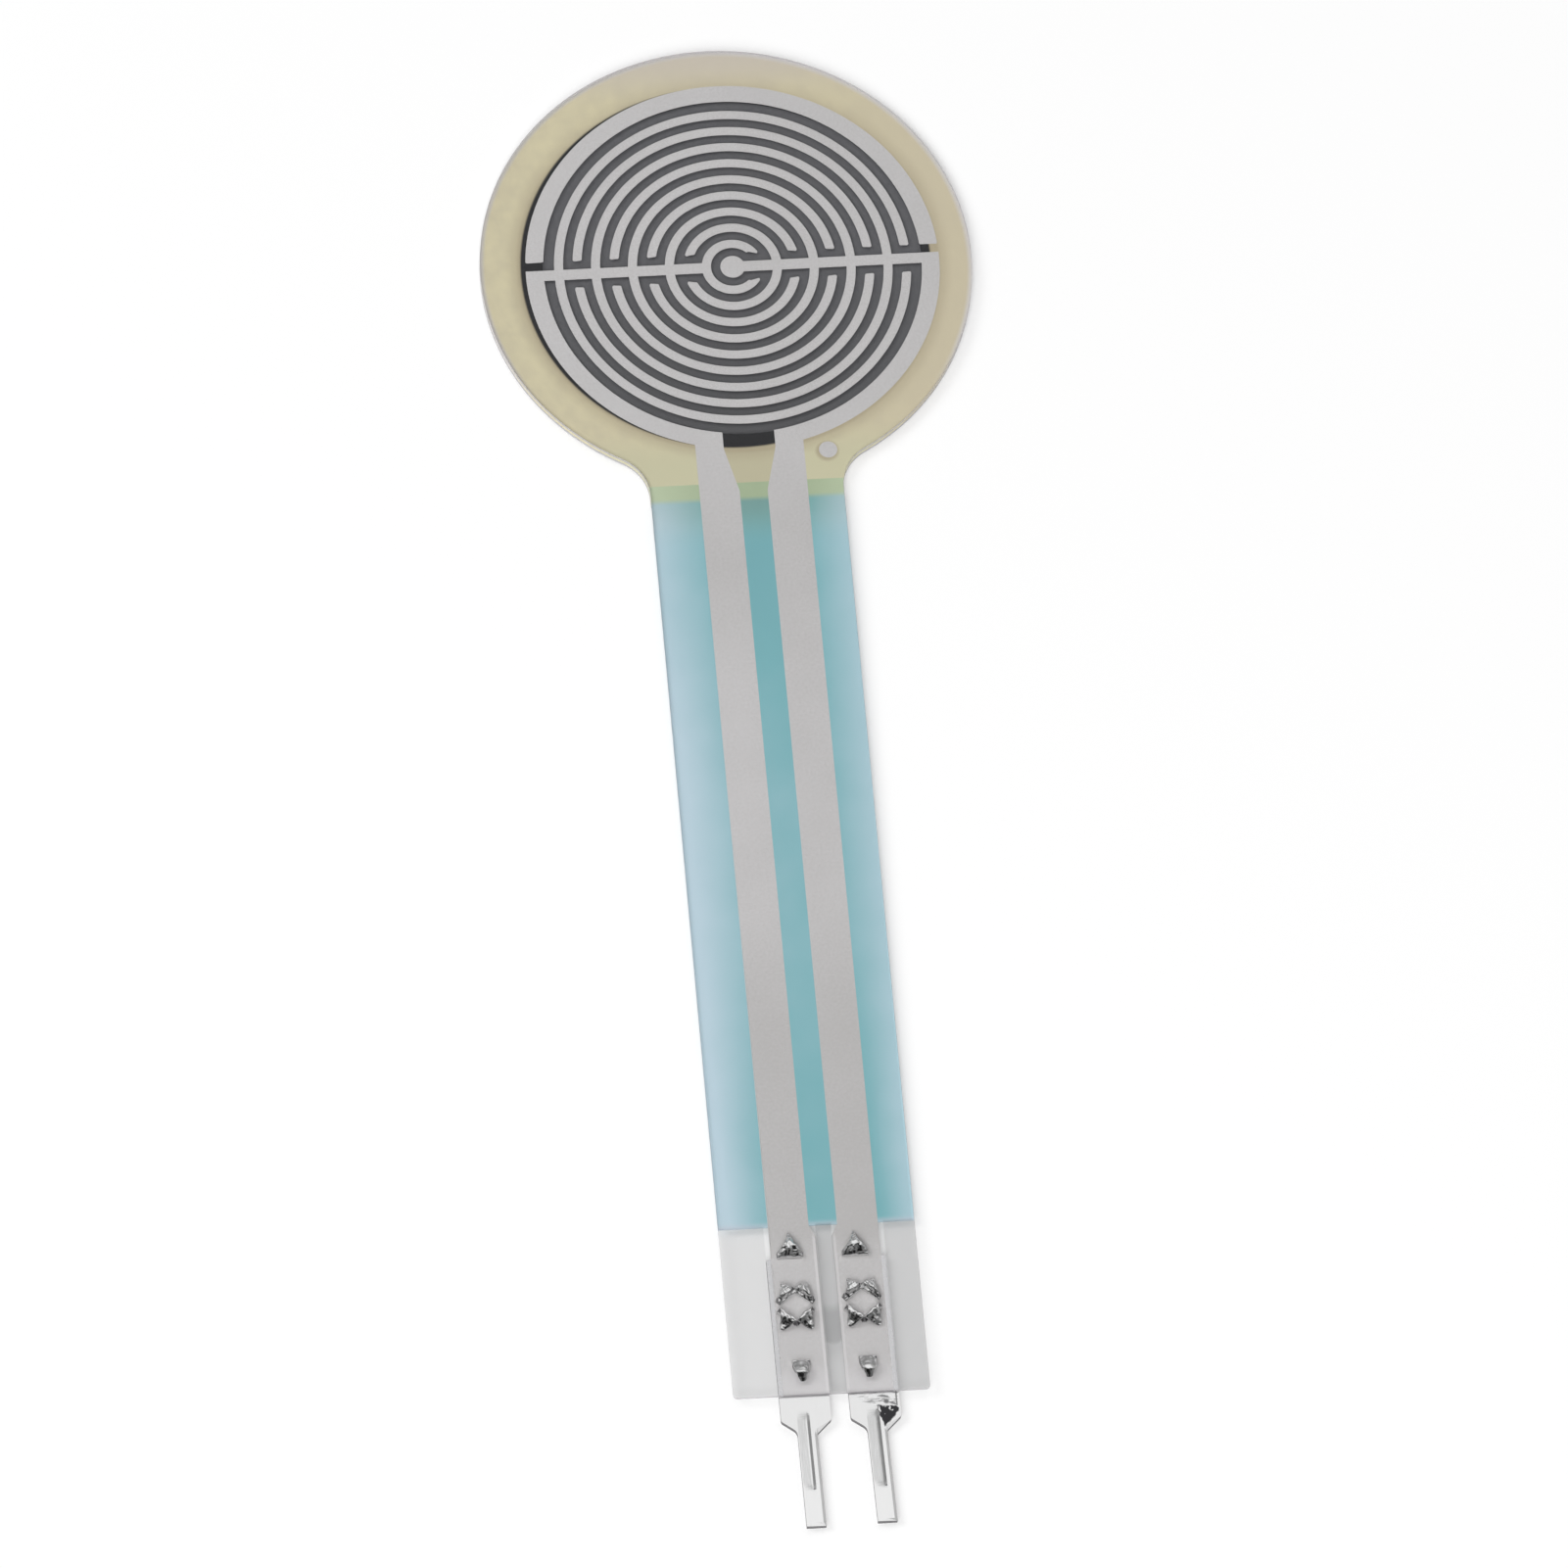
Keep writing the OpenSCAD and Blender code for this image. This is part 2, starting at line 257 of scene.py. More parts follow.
def turnsLeft(p):
    return (p[1][0] - p[0][0]) * (p[2][1] - p[0][1]) - (p[1][1] - p[0][1]) * (p[2][0] - p[0][0]) > 0


def smoothStep(value, low, high):
    t = max(0.0, min(1.0, (value - low) / (high - low)))
    return t * t * (3 - 2 * t)


print("stage: helpers ready")

# ---- materials ----


def satinPolyester():
    # Clear polyester film, drawn and lightly matted: a faint satin sheen, and painted shade over the bare end, where
    # the film is made more opaque for the floor's shadow beneath
    material, tree, place = newMaterial("satin clear polyester film")
    axes = addNode(tree, "ShaderNodeSeparateXYZ", [place])
    x, y = axes.outputs[0], axes.outputs[1]
    grain = addNode(tree, "ShaderNodeTexNoise", {0: place, "Scale": 4.0, "Detail": 4.0})
    rough = addNode(tree, "ShaderNodeMapRange", [grain, 0.3, 0.7, 0.3, 0.42])
    bump = addNode(tree, "ShaderNodeBump", {"Height": grain, "Strength": 0.05, "Distance": 0.0001})
    # Painted shade: over the bare end the film grows more opaque to the left and right of the plates and between them
    bare = addNode(tree, "ShaderNodeMapRange", [y, -40.14, -40.06, 1.0, 0.0])
    left = addNode(tree, "ShaderNodeMapRange", [x, -1.97, -1.93, 0.057, 0.0])
    right = addNode(tree, "ShaderNodeMapRange", [x, 2.42, 2.48, 0.0, 0.115])
    offMiddle = addNode(tree, "ShaderNodeMath", [x, -0.25], operation="ADD")
    offMiddle = addNode(tree, "ShaderNodeMath", [offMiddle], operation="ABSOLUTE")
    between = addNode(tree, "ShaderNodeMapRange", [offMiddle, 0.27, 0.31, 1.0, 0.0])
    # Between the plates the film sags, and painted shade darkens its lowest stretch, with a rounded lower end, for the
    # plates' shadow on the floor beneath
    bend = addNode(tree, "ShaderNodeMath", [offMiddle, offMiddle], operation="MULTIPLY")
    bent = addNode(tree, "ShaderNodeMath", [bend, -1.6, y], operation="MULTIPLY_ADD")
    sagTop = addNode(tree, "ShaderNodeMapRange", [bent, -43.35, -43.75, 0.0, 1.0])
    sagLow = addNode(tree, "ShaderNodeMapRange", [bent, -45.02, -44.94, 0.0, 1.0])
    lowest = addNode(tree, "ShaderNodeMath", [sagTop, sagLow], operation="MULTIPLY")
    atEnd = addNode(tree, "ShaderNodeMapRange", [y, -45.2, -45.8, 0.15, 0.12])
    middle = addNode(tree, "ShaderNodeMath", [lowest, 0.08, atEnd], operation="MULTIPLY_ADD")
    middle = addNode(tree, "ShaderNodeMath", [middle, between], operation="MULTIPLY")
    sides = addNode(tree, "ShaderNodeMath", [left, right], operation="ADD")
    paintedShade = addNode(tree, "ShaderNodeMath", [sides, middle], operation="ADD")
    alpha = addNode(tree, "ShaderNodeMath", [paintedShade, bare, 0.05], operation="MULTIPLY_ADD")
    skin = addNode(tree, "ShaderNodeBsdfPrincipled", {
        "Base Color": linear("#3C3E42"), "Alpha": alpha, "Roughness": rough, "IOR": 1.6, "Normal": bump})
    finishMaterial(tree, skin)
    return material


def frostedEdge():
    # The die-cut edge of the film: frosted, so it reads as a pale grey line
    material, tree, place = newMaterial("frosted cut edge of polyester")
    grain = addNode(tree, "ShaderNodeTexNoise", {0: place, "Scale": 9.0, "Detail": 3.0})
    tone = addNode(tree, "ShaderNodeMix", {0: grain, 6: linear("#B9B6BA"), 7: linear("#CCC9CC")}, data_type="RGBA")
    skin = addNode(tree, "ShaderNodeBsdfPrincipled", {
        "Base Color": tone.outputs[2], "Alpha": 0.75, "Roughness": 0.6, "IOR": 1.6})
    finishMaterial(tree, skin)
    return material


def silverInk():
    # Silver-filled ink, screen printed and dried: matte grey with a fine speckle, and a painted sheen that lightens it
    # mid-tail, on the head, on the pads and to the left
    material, tree, place = newMaterial("screen-printed silver ink")
    axes = addNode(tree, "ShaderNodeSeparateXYZ", [place])
    x, y = axes.outputs[0], axes.outputs[1]
    speckle = addNode(tree, "ShaderNodeTexNoise", {0: place, "Scale": 11.0, "Detail": 2.0, "Roughness": 0.6})
    cloud = addNode(tree, "ShaderNodeTexNoise", {0: place, "Scale": 0.3, "Detail": 2.0})
    fromBright = addNode(tree, "ShaderNodeMath", [addNode(tree, "ShaderNodeMath", [y, 22.0], operation="ADD")],
                         operation="ABSOLUTE")
    # Painted sheen: lighter mid-tail, over the head, on the pads and near the film's end, more to the left; speckle and
    # clouds are the ink's own tone
    onTail = addNode(tree, "ShaderNodeMapRange", [fromBright, 4.0, 11.0, 0.42, 0.0], interpolation_type="SMOOTHSTEP")
    onHead = addNode(tree, "ShaderNodeMapRange", [y, -14.0, -7.0, 0.05, 0.43], interpolation_type="SMOOTHSTEP")
    onPad = addNode(tree, "ShaderNodeMapRange", [y, -40.2, -41.6, 0.0, 0.4], interpolation_type="SMOOTHSTEP")
    atEnd = addNode(tree, "ShaderNodeMapRange", [y, -45.6, -46.6, 0.0, 0.65], interpolation_type="SMOOTHSTEP")
    leftness = addNode(tree, "ShaderNodeMapRange", [x, -1.0, 1.5, 1.0, 0.76])
    low = addNode(tree, "ShaderNodeMath", [onPad, atEnd], operation="ADD")
    high = addNode(tree, "ShaderNodeMath", [onTail, onHead], operation="ADD")
    sheen = addNode(tree, "ShaderNodeMath", [low, high], operation="ADD")
    sheen = addNode(tree, "ShaderNodeMath", [sheen, leftness], operation="MULTIPLY")
    grains = addNode(tree, "ShaderNodeMapRange", [speckle, 0.3, 0.7, -0.14, 0.24])
    clouds = addNode(tree, "ShaderNodeMapRange", [cloud, 0.3, 0.7, -0.06, 0.1])
    sheen = addNode(tree, "ShaderNodeMath", [sheen, grains], operation="ADD")
    sheen = addNode(tree, "ShaderNodeMath", [sheen, clouds], operation="ADD", use_clamp=True)
    tone = addNode(tree, "ShaderNodeMix", {0: sheen, 6: linear("#C1BFBE"), 7: linear("#DBD9DA")}, data_type="RGBA")
    # The film creases over the inner edge of each plate: a painted highlight line, then a thin painted shadow line
    leftGlintLine = addNode(tree, "ShaderNodeMath", [x, -0.135, 0.05], operation="COMPARE")
    rightGlintLine = addNode(tree, "ShaderNodeMath", [x, 0.615, 0.055], operation="COMPARE")
    lines = addNode(tree, "ShaderNodeMath", [leftGlintLine, rightGlintLine], operation="ADD")
    overPlate = addNode(tree, "ShaderNodeMapRange", [y, -40.35, -40.65, 0.0, 0.5])
    lines = addNode(tree, "ShaderNodeMath", [lines, overPlate], operation="MULTIPLY")
    tone = addNode(tree, "ShaderNodeMix", {0: lines, 6: tone.outputs[2], 7: linear("#EAE8E9")}, data_type="RGBA")
    dark = addNode(tree, "ShaderNodeMath", [x, -0.06, 0.02], operation="COMPARE")
    dark = addNode(tree, "ShaderNodeMath", [dark, overPlate], operation="MULTIPLY")
    tone = addNode(tree, "ShaderNodeMix", {0: dark, 6: tone.outputs[2], 7: linear("#ACAAAB")}, data_type="RGBA")
    bump = addNode(tree, "ShaderNodeBump", {"Height": speckle, "Strength": 0.1, "Distance": 0.00002})
    skin = addNode(tree, "ShaderNodeBsdfPrincipled", {
        "Base Color": tone.outputs[2], "Metallic": 0.0, "Roughness": 0.6, "Normal": bump})
    finishMaterial(tree, skin)
    return material


def insulatingInk():
    # Blue-green dielectric ink, screen printed and cured: matte, green over the adhesive, with painted light making it
    # paler to the edges and painted shade deepening it between the traces
    material, tree, place = newMaterial("cured dielectric ink")
    axes = addNode(tree, "ShaderNodeSeparateXYZ", [place])
    x, y = axes.outputs[0], axes.outputs[1]
    # Painted light and shade: paler to the outer edges, mid-tail and to the lower left, deeper between the traces near
    # the head and right of the middle low down; the clouds are the ink's own mottle
    leftPale = addNode(tree, "ShaderNodeMapRange", [x, -1.2, -3.55, 0.0, 0.86])
    rightPale = addNode(tree, "ShaderNodeMapRange", [x, 2.1, 3.5, 0.0, 0.58])
    fromMiddle = addNode(tree, "ShaderNodeMath", [addNode(tree, "ShaderNodeMath", [y, 25.0], operation="ADD")],
                         operation="ABSOLUTE")
    midTail = addNode(tree, "ShaderNodeMapRange", [fromMiddle, 2.0, 12.0, 0.24, 0.0], interpolation_type="SMOOTHSTEP")
    # Painted shade just below the adhesive's edge
    shade = addNode(tree, "ShaderNodeMapRange", [y, -10.8, -9.95, 0.0, -0.1])
    cloud = addNode(tree, "ShaderNodeTexNoise", {0: place, "Scale": 0.6, "Detail": 3.0})
    clouds = addNode(tree, "ShaderNodeMapRange", [cloud, 0.3, 0.7, -0.05, 0.05])
    leftness = addNode(tree, "ShaderNodeMapRange", [x, -3.0, 3.0, 1.1, 0.2])
    midTail = addNode(tree, "ShaderNodeMath", [midTail, leftness], operation="MULTIPLY")
    rightSide = addNode(tree, "ShaderNodeMapRange", [x, -0.6, 0.0, 0.0, 0.035])
    midTail = addNode(tree, "ShaderNodeMath", [midTail, rightSide], operation="ADD")
    pale = addNode(tree, "ShaderNodeMath", [leftPale, rightPale], operation="ADD")
    pale = addNode(tree, "ShaderNodeMath", [pale, midTail], operation="ADD")
    pale = addNode(tree, "ShaderNodeMath", [pale, shade], operation="ADD")
    sideways = addNode(tree, "ShaderNodeMath", [x, -0.25], operation="ADD")
    sideways = addNode(tree, "ShaderNodeMath", [sideways], operation="ABSOLUTE")
    betweenTraces = addNode(tree, "ShaderNodeMapRange", [sideways, 0.5, 0.9, 1.0, 0.0])
    nearHead = addNode(tree, "ShaderNodeMapRange", [y, -22.0, -14.0, 0.0, -0.14])
    pale = addNode(tree, "ShaderNodeMath", [pale, addNode(tree, "ShaderNodeMath", [betweenTraces, nearHead],
                                                          operation="MULTIPLY")], operation="ADD")
    outerLeft = addNode(tree, "ShaderNodeMapRange", [x, -2.2, -3.2, 0.0, 1.0])
    innerRight = addNode(tree, "ShaderNodeMapRange", [x, 1.0, 2.2, 0.0, -0.4])
    outerRight = addNode(tree, "ShaderNodeMapRange", [x, 2.6, 3.3, 0.0, 0.6])
    outerLeft = addNode(tree, "ShaderNodeMath", [outerLeft, innerRight], operation="ADD")
    outerLeft = addNode(tree, "ShaderNodeMath", [outerLeft, outerRight], operation="ADD")
    lowDown = addNode(tree, "ShaderNodeMapRange", [y, -28.0, -38.0, 0.0, 0.28])
    pale = addNode(tree, "ShaderNodeMath", [pale, addNode(tree, "ShaderNodeMath", [outerLeft, lowDown], operation="MULTIPLY")],
                   operation="ADD")
    pale = addNode(tree, "ShaderNodeMath", [pale, clouds], operation="ADD")
    deepness = addNode(tree, "ShaderNodeMath", [pale, -1.0], operation="MULTIPLY")
    body = addNode(tree, "ShaderNodeMix", {0: pale, 6: linear("#7EBAC1"), 7: linear("#C6DEEA")}, data_type="RGBA")
    body = addNode(tree, "ShaderNodeMix", {0: deepness, 6: body.outputs[2], 7: linear("#5E8F98")}, data_type="RGBA")
    # Where the coat runs up over the adhesive the yellow shows through it
    lap = addNode(tree, "ShaderNodeMapRange", [y, -9.99, -9.7, 0.0, 1.0], interpolation_type="SMOOTHSTEP")
    # The green is paler to the outer edges too: painted light
    greenPale = addNode(tree, "ShaderNodeMath", [leftPale, rightPale], operation="ADD")
    green = addNode(tree, "ShaderNodeMix", {0: greenPale, 6: linear("#ACBD9B"), 7: linear("#C7D5B4")}, data_type="RGBA")
    # Painted shade: darker and greener just below the adhesive's edge, most between the traces
    justBelow = addNode(tree, "ShaderNodeMapRange", [y, -11.9, -10.0, 0.0, 1.0], interpolation_type="SMOOTHSTEP")
    sideways = addNode(tree, "ShaderNodeMapRange", [sideways, 0.5, 3.4, 1.0, 0.35])
    justBelow = addNode(tree, "ShaderNodeMath", [justBelow, sideways], operation="MULTIPLY")
    body = addNode(tree, "ShaderNodeMix", {0: justBelow, 6: body.outputs[2], 7: (1.08, 0.87, 0.75, 1.0)},
                   data_type="RGBA", blend_type="MULTIPLY")
    colour = addNode(tree, "ShaderNodeMix", {0: lap, 6: body.outputs[2], 7: green.outputs[2]}, data_type="RGBA")
    # Thinned out where the print stops
    # Paler, towards lavender grey, over the last few tenths of a millimetre before the print stops
    lastBit = addNode(tree, "ShaderNodeMapRange", [y, -39.82, -40.1, 0.0, 0.55], interpolation_type="SMOOTHSTEP")
    colour = addNode(tree, "ShaderNodeMix", {0: lastBit, 6: colour.outputs[2], 7: linear("#D2D6E2")}, data_type="RGBA")
    skin = addNode(tree, "ShaderNodeBsdfPrincipled", {"Base Color": colour.outputs[2], "Roughness": 0.5})
    finishMaterial(tree, skin)
    return material


def transferAdhesive():
    # Pale yellow acrylic transfer adhesive, rolled on: soft mottling, near black where it wets the carbon
    material, tree, place = newMaterial("acrylic transfer adhesive")
    axes = addNode(tree, "ShaderNodeSeparateXYZ", [place])
    x, y = axes.outputs[0], axes.outputs[1]
    mottle = addNode(tree, "ShaderNodeTexNoise", {0: place, "Scale": 1.4, "Detail": 4.0, "Roughness": 0.65})
    spread = addNode(tree, "ShaderNodeMapRange", [mottle, 0.3, 0.7, 0.0, 1.0])
    tone = addNode(tree, "ShaderNodeMix", {0: spread, 6: linear("#D3CAAC"), 7: linear("#DFD6B3")}, data_type="RGBA")
    top = addNode(tree, "ShaderNodeMapRange", [y, 7.0, 9.0, 0.0, 1.0], interpolation_type="SMOOTHSTEP")
    tone = addNode(tree, "ShaderNodeMix", {0: top, 6: tone.outputs[2], 7: linear("#D3CABA")}, data_type="RGBA")
    side = addNode(tree, "ShaderNodeMapRange", [x, 2.0, 8.0, 0.0, 0.8], interpolation_type="SMOOTHSTEP")
    tone = addNode(tree, "ShaderNodeMix", {0: side, 6: tone.outputs[2], 7: linear("#D3C8AD")}, data_type="RGBA")
    neck = addNode(tree, "ShaderNodeMapRange", [y, -6.5, -8.5, 0.0, 1.0], interpolation_type="SMOOTHSTEP")
    tone = addNode(tree, "ShaderNodeMix", {0: neck, 6: tone.outputs[2], 7: linear("#D3CFAE")}, data_type="RGBA")
    # Painted shade: darker between the traces in the neck
    middle = addNode(tree, "ShaderNodeMath", [x, 0.25, 1.0], operation="COMPARE")
    middle = addNode(tree, "ShaderNodeMath", [middle, neck], operation="MULTIPLY")
    tone = addNode(tree, "ShaderNodeMix", {0: middle, 6: tone.outputs[2], 7: linear("#C7C1A3")}, data_type="RGBA")
    flat = addNode(tree, "ShaderNodeCombineXYZ", [x, y, 0.0])
    radius = addNode(tree, "ShaderNodeVectorMath", [flat], operation="LENGTH")
    # Shaded where the films close over the thick silver edge, and round the printed dot
    rightness = addNode(tree, "ShaderNodeMapRange", [x, -4.0, 5.0, 0.0, -0.2])
    off = addNode(tree, "ShaderNodeMath", [radius.outputs["Value"], rightness], operation="ADD")
    near = addNode(tree, "ShaderNodeMapRange", [off, 7.72, 8.35, 0.55, 0.0], interpolation_type="SMOOTHSTEP")
    close = addNode(tree, "ShaderNodeMapRange", [off, 7.74, 7.86, 0.3, 0.0])
    near = addNode(tree, "ShaderNodeMath", [near, close], operation="ADD")
    atTop = addNode(tree, "ShaderNodeMapRange", [y, 3.0, 7.5, 1.0, 0.4])
    near = addNode(tree, "ShaderNodeMath", [near, atTop], operation="MULTIPLY")
    away = addNode(tree, "ShaderNodeVectorMath", [place, (3.12, -7.98, 0.28)], operation="DISTANCE")
    halo = addNode(tree, "ShaderNodeMapRange", [away.outputs["Value"], 0.36, 0.5, 0.8, 0.0])
    near = addNode(tree, "ShaderNodeMath", [near, halo], operation="MAXIMUM")
    tone = addNode(tree, "ShaderNodeMix", {0: near, 6: tone.outputs[2], 7: linear("#B3A78C")}, data_type="RGBA")
    border = addNode(tree, "ShaderNodeMapRange", [radius.outputs["Value"], 9.0, 9.14, 0.0, 0.8])
    onRound = addNode(tree, "ShaderNodeMapRange", [y, -5.5, -3.5, 0.0, 1.0])
    border = addNode(tree, "ShaderNodeMath", [border, onRound], operation="MULTIPLY")
    tone = addNode(tree, "ShaderNodeMix", {0: border, 6: tone.outputs[2], 7: linear("#D9D6D6")}, data_type="RGBA")
    wet = addNode(tree, "ShaderNodeMapRange", [radius.outputs["Value"], 7.64, 7.72, 1.0, 0.0])
    colour = addNode(tree, "ShaderNodeMix", {0: wet, 6: tone.outputs[2], 7: linear("#1E1E20")}, data_type="RGBA")
    skin = addNode(tree, "ShaderNodeBsdfPrincipled", {"Base Color": colour.outputs[2], "Roughness": 0.55})
    finishMaterial(tree, skin)
    return material


def carbonInk():
    # Carbon-filled ink, screen printed: matte dark grey, a little darker in patches
    material, tree, place = newMaterial("screen-printed carbon ink")
    grain = addNode(tree, "ShaderNodeTexNoise", {0: place, "Scale": 5.0, "Detail": 4.0})
    tone = addNode(tree, "ShaderNodeMix", {0: grain, 6: linear("#5C5C5F"), 7: linear("#6A6A6D")}, data_type="RGBA")
    axes = addNode(tree, "ShaderNodeSeparateXYZ", [place])
    low = addNode(tree, "ShaderNodeMapRange", [axes.outputs[1], 1.0, -7.0, 0.0, 1.0])
    tone = addNode(tree, "ShaderNodeMix", {0: low, 6: tone.outputs[2], 7: linear("#5A5A5C")}, data_type="RGBA")
    skin = addNode(tree, "ShaderNodeBsdfPrincipled", {"Base Color": tone.outputs[2], "Roughness": 0.7})
    finishMaterial(tree, skin)
    return material


def milkyFilm():
    # Back film: the same polyester seen from behind, slightly milky
    material, tree, place = newMaterial("milky polyester back film")
    grain = addNode(tree, "ShaderNodeTexNoise", {0: place, "Scale": 3.0, "Detail": 3.0})
    rough = addNode(tree, "ShaderNodeMapRange", [grain, 0.3, 0.7, 0.3, 0.45])
    skin = addNode(tree, "ShaderNodeBsdfPrincipled", {
        "Base Color": linear("#C9C8C4"), "Alpha": 0.14, "Roughness": rough, "IOR": 1.6})
    finishMaterial(tree, skin)
    return material


def tinnedStrip():
    # Phosphor bronze strip, rolled and bright tin plated: silvery mirror softened by fine rolling lines
    material, tree, place = newMaterial("bright tin plate")
    drawn = addNode(tree, "ShaderNodeMapping", {0: place, "Scale": (9.0, 1.0, 9.0)})
    lines = addNode(tree, "ShaderNodeTexNoise", {0: drawn, "Scale": 2.0, "Detail": 3.0})
    rough = addNode(tree, "ShaderNodeMapRange", [lines, 0.3, 0.7, 0.14, 0.24])
    tone = addNode(tree, "ShaderNodeMix", {0: lines, 6: linear("#E7E7E7"), 7: linear("#F1F1F1")}, data_type="RGBA")
    axes = addNode(tree, "ShaderNodeSeparateXYZ", [place])
    x, y = axes.outputs[0], axes.outputs[1]
    onPins = addNode(tree, "ShaderNodeMapRange", [y, -48.3, -49.3, 0.0, 1.0])
    tone = addNode(tree, "ShaderNodeMix", {0: onPins, 6: tone.outputs[2], 7: linear("#F1F1F1")}, data_type="RGBA")
    # Under the satin film the metal looks duller: a painted darker tone, and a rougher finish
    covered = addNode(tree, "ShaderNodeMath", [y, -46.98], operation="GREATER_THAN")
    low = addNode(tree, "ShaderNodeMath", [axes.outputs[2], 0.2605], operation="LESS_THAN")
    covered = addNode(tree, "ShaderNodeMath", [covered, low], operation="MULTIPLY")
    tone = addNode(tree, "ShaderNodeMix", {0: covered, 6: tone.outputs[2], 7: linear("#E4E4E6")}, data_type="RGBA")
    rough = addNode(tree, "ShaderNodeMath", [covered, 0.1, rough], operation="MULTIPLY_ADD")
    # A painted dark reflection on the right contact's outer shoulder, with bright specks left in it
    ragged = addNode(tree, "ShaderNodeTexNoise", {0: place, "Scale": 6.0, "Detail": 3.0})
    ragged = addNode(tree, "ShaderNodeMapRange", [ragged, 0.3, 0.7, -0.05, 0.05])
    loose = addNode(tree, "ShaderNodeMath", [x, ragged], operation="ADD")
    inner = addNode(tree, "ShaderNodeMath", [y, 0.319, loose], operation="MULTIPLY_ADD")
    inner = addNode(tree, "ShaderNodeMapRange", [inner, -13.62, -13.57, 0.0, 1.0])
    outer = addNode(tree, "ShaderNodeMath", [y, -0.863, loose], operation="MULTIPLY_ADD")
    outer = addNode(tree, "ShaderNodeMapRange", [outer, 43.59, 43.66, 1.0, 0.0])
    rightEnd = addNode(tree, "ShaderNodeMapRange", [loose, 2.36, 2.4, 1.0, 0.0])
    loose = addNode(tree, "ShaderNodeMath", [y, ragged], operation="ADD")
    upper = addNode(tree, "ShaderNodeMapRange", [loose, -47.58, -47.53, 1.0, 0.0])
    specks = addNode(tree, "ShaderNodeTexNoise", {0: place, "Scale": 5.0, "Detail": 1.0})
    paintedDark = addNode(tree, "ShaderNodeMapRange", [specks, 0.66, 0.69, 1.0, 0.1])
    for limit in (inner, outer, rightEnd, upper):
        paintedDark = addNode(tree, "ShaderNodeMath", [paintedDark, limit], operation="MULTIPLY")
    # Painted dark streaks of the same reflection run from it towards the film, and a painted dark line along the
    # plate's edge
    turned = addNode(tree, "ShaderNodeMapping", {0: place, "Rotation": (0.0, 0.0, 0.42), "Scale": (2.2, 13.0, 1.0)})
    streaks = addNode(tree, "ShaderNodeTexNoise", {0: turned, "Scale": 1.0, "Detail": 3.0, "Roughness": 0.6})
    streaks = addNode(tree, "ShaderNodeMapRange", [streaks, 0.5, 0.6, 0.0, 1.0])
    towards = addNode(tree, "ShaderNodeMapRange", [x, 0.7, 2.2, 0.3, 0.8])
    slant = addNode(tree, "ShaderNodeMath", [x, 0.55, y], operation="MULTIPLY_ADD")
    above = addNode(tree, "ShaderNodeMapRange", [slant, -46.8, -46.66, 0.0, 1.0])
    short = addNode(tree, "ShaderNodeMapRange", [y, -47.62, -47.55, 0.0, 1.0])
    bare = addNode(tree, "ShaderNodeMath", [y, -46.99], operation="LESS_THAN")
    short = addNode(tree, "ShaderNodeMath", [short, bare], operation="MULTIPLY")
    for limit in (towards, above, short, rightEnd):
        streaks = addNode(tree, "ShaderNodeMath", [streaks, limit], operation="MULTIPLY")
    sideLine = addNode(tree, "ShaderNodeMath", [x, 2.335, 0.03], operation="COMPARE")
    sideLine = addNode(tree, "ShaderNodeMath", [sideLine, addNode(tree, "ShaderNodeMath", [short, 0.7], operation="MULTIPLY")],
                       operation="MULTIPLY")
    marks = [paintedDark, streaks, sideLine]
    # A small painted dark patch above it, and painted shade for the pit at the lower end of each pin's groove
    for spot, size, depth in (((1.96, -47.384, 0.259), 0.13, 0.8), ((-0.951, -50.76, 0.259), 0.06, 0.7),
                              ((1.671, -50.76, 0.259), 0.06, 0.7)):
        away = addNode(tree, "ShaderNodeVectorMath", [place, spot], operation="DISTANCE")
        away = addNode(tree, "ShaderNodeMath", [ragged, 0.4, away.outputs["Value"]], operation="MULTIPLY_ADD")
        marks.append(addNode(tree, "ShaderNodeMapRange", [away, size * 0.5, size, depth, 0.0]))
    paintedDark = marks[0]
    for mark in marks[1:]:
        paintedDark = addNode(tree, "ShaderNodeMath", [paintedDark, mark], operation="MAXIMUM")
    tone = addNode(tree, "ShaderNodeMix", {0: paintedDark, 6: tone.outputs[2], 7: linear("#3A3A3C")}, data_type="RGBA")
    bump = addNode(tree, "ShaderNodeBump", {"Height": lines, "Strength": 0.12, "Distance": 0.00002})
    skin = addNode(tree, "ShaderNodeBsdfPrincipled", {
        "Base Color": tone.outputs[2], "Metallic": 1.0, "Roughness": rough, "Normal": bump})
    finishMaterial(tree, skin)
    return material


def shearedStrip():
    # The stamped edge of the same strip: torn, dull and darker than the plated faces, and darkened further as painted
    # shade for the gaps and dark reflections along the edges
    material, tree, place = newMaterial("sheared tin-plated edge")
    torn = addNode(tree, "ShaderNodeTexNoise", {0: place, "Scale": 14.0, "Detail": 3.0})
    tone = addNode(tree, "ShaderNodeMix", {0: torn, 6: linear("#646367"), 7: linear("#8E8C8C")}, data_type="RGBA")
    bump = addNode(tree, "ShaderNodeBump", {"Height": torn, "Strength": 0.3, "Distance": 0.00003})
    skin = addNode(tree, "ShaderNodeBsdfPrincipled", {
        "Base Color": tone.outputs[2], "Metallic": 0.35, "Roughness": 0.55, "Normal": bump})
    finishMaterial(tree, skin)
    return material


filmSkin, edgeSkin = satinPolyester(), frostedEdge()
silverSkin, coatSkin, adhesiveSkin = silverInk(), insulatingInk(), transferAdhesive()
carbonSkin, backSkin, tinSkin, shearSkin = carbonInk(), milkyFilm(), tinnedStrip(), shearedStrip()
print("stage: materials ready")

# ---- slits that the tines pass through ----


def padPlace(side):
    return Vector((printing["shift"] + side * contact["pitch"] / 2, outline["tailEnd"]))


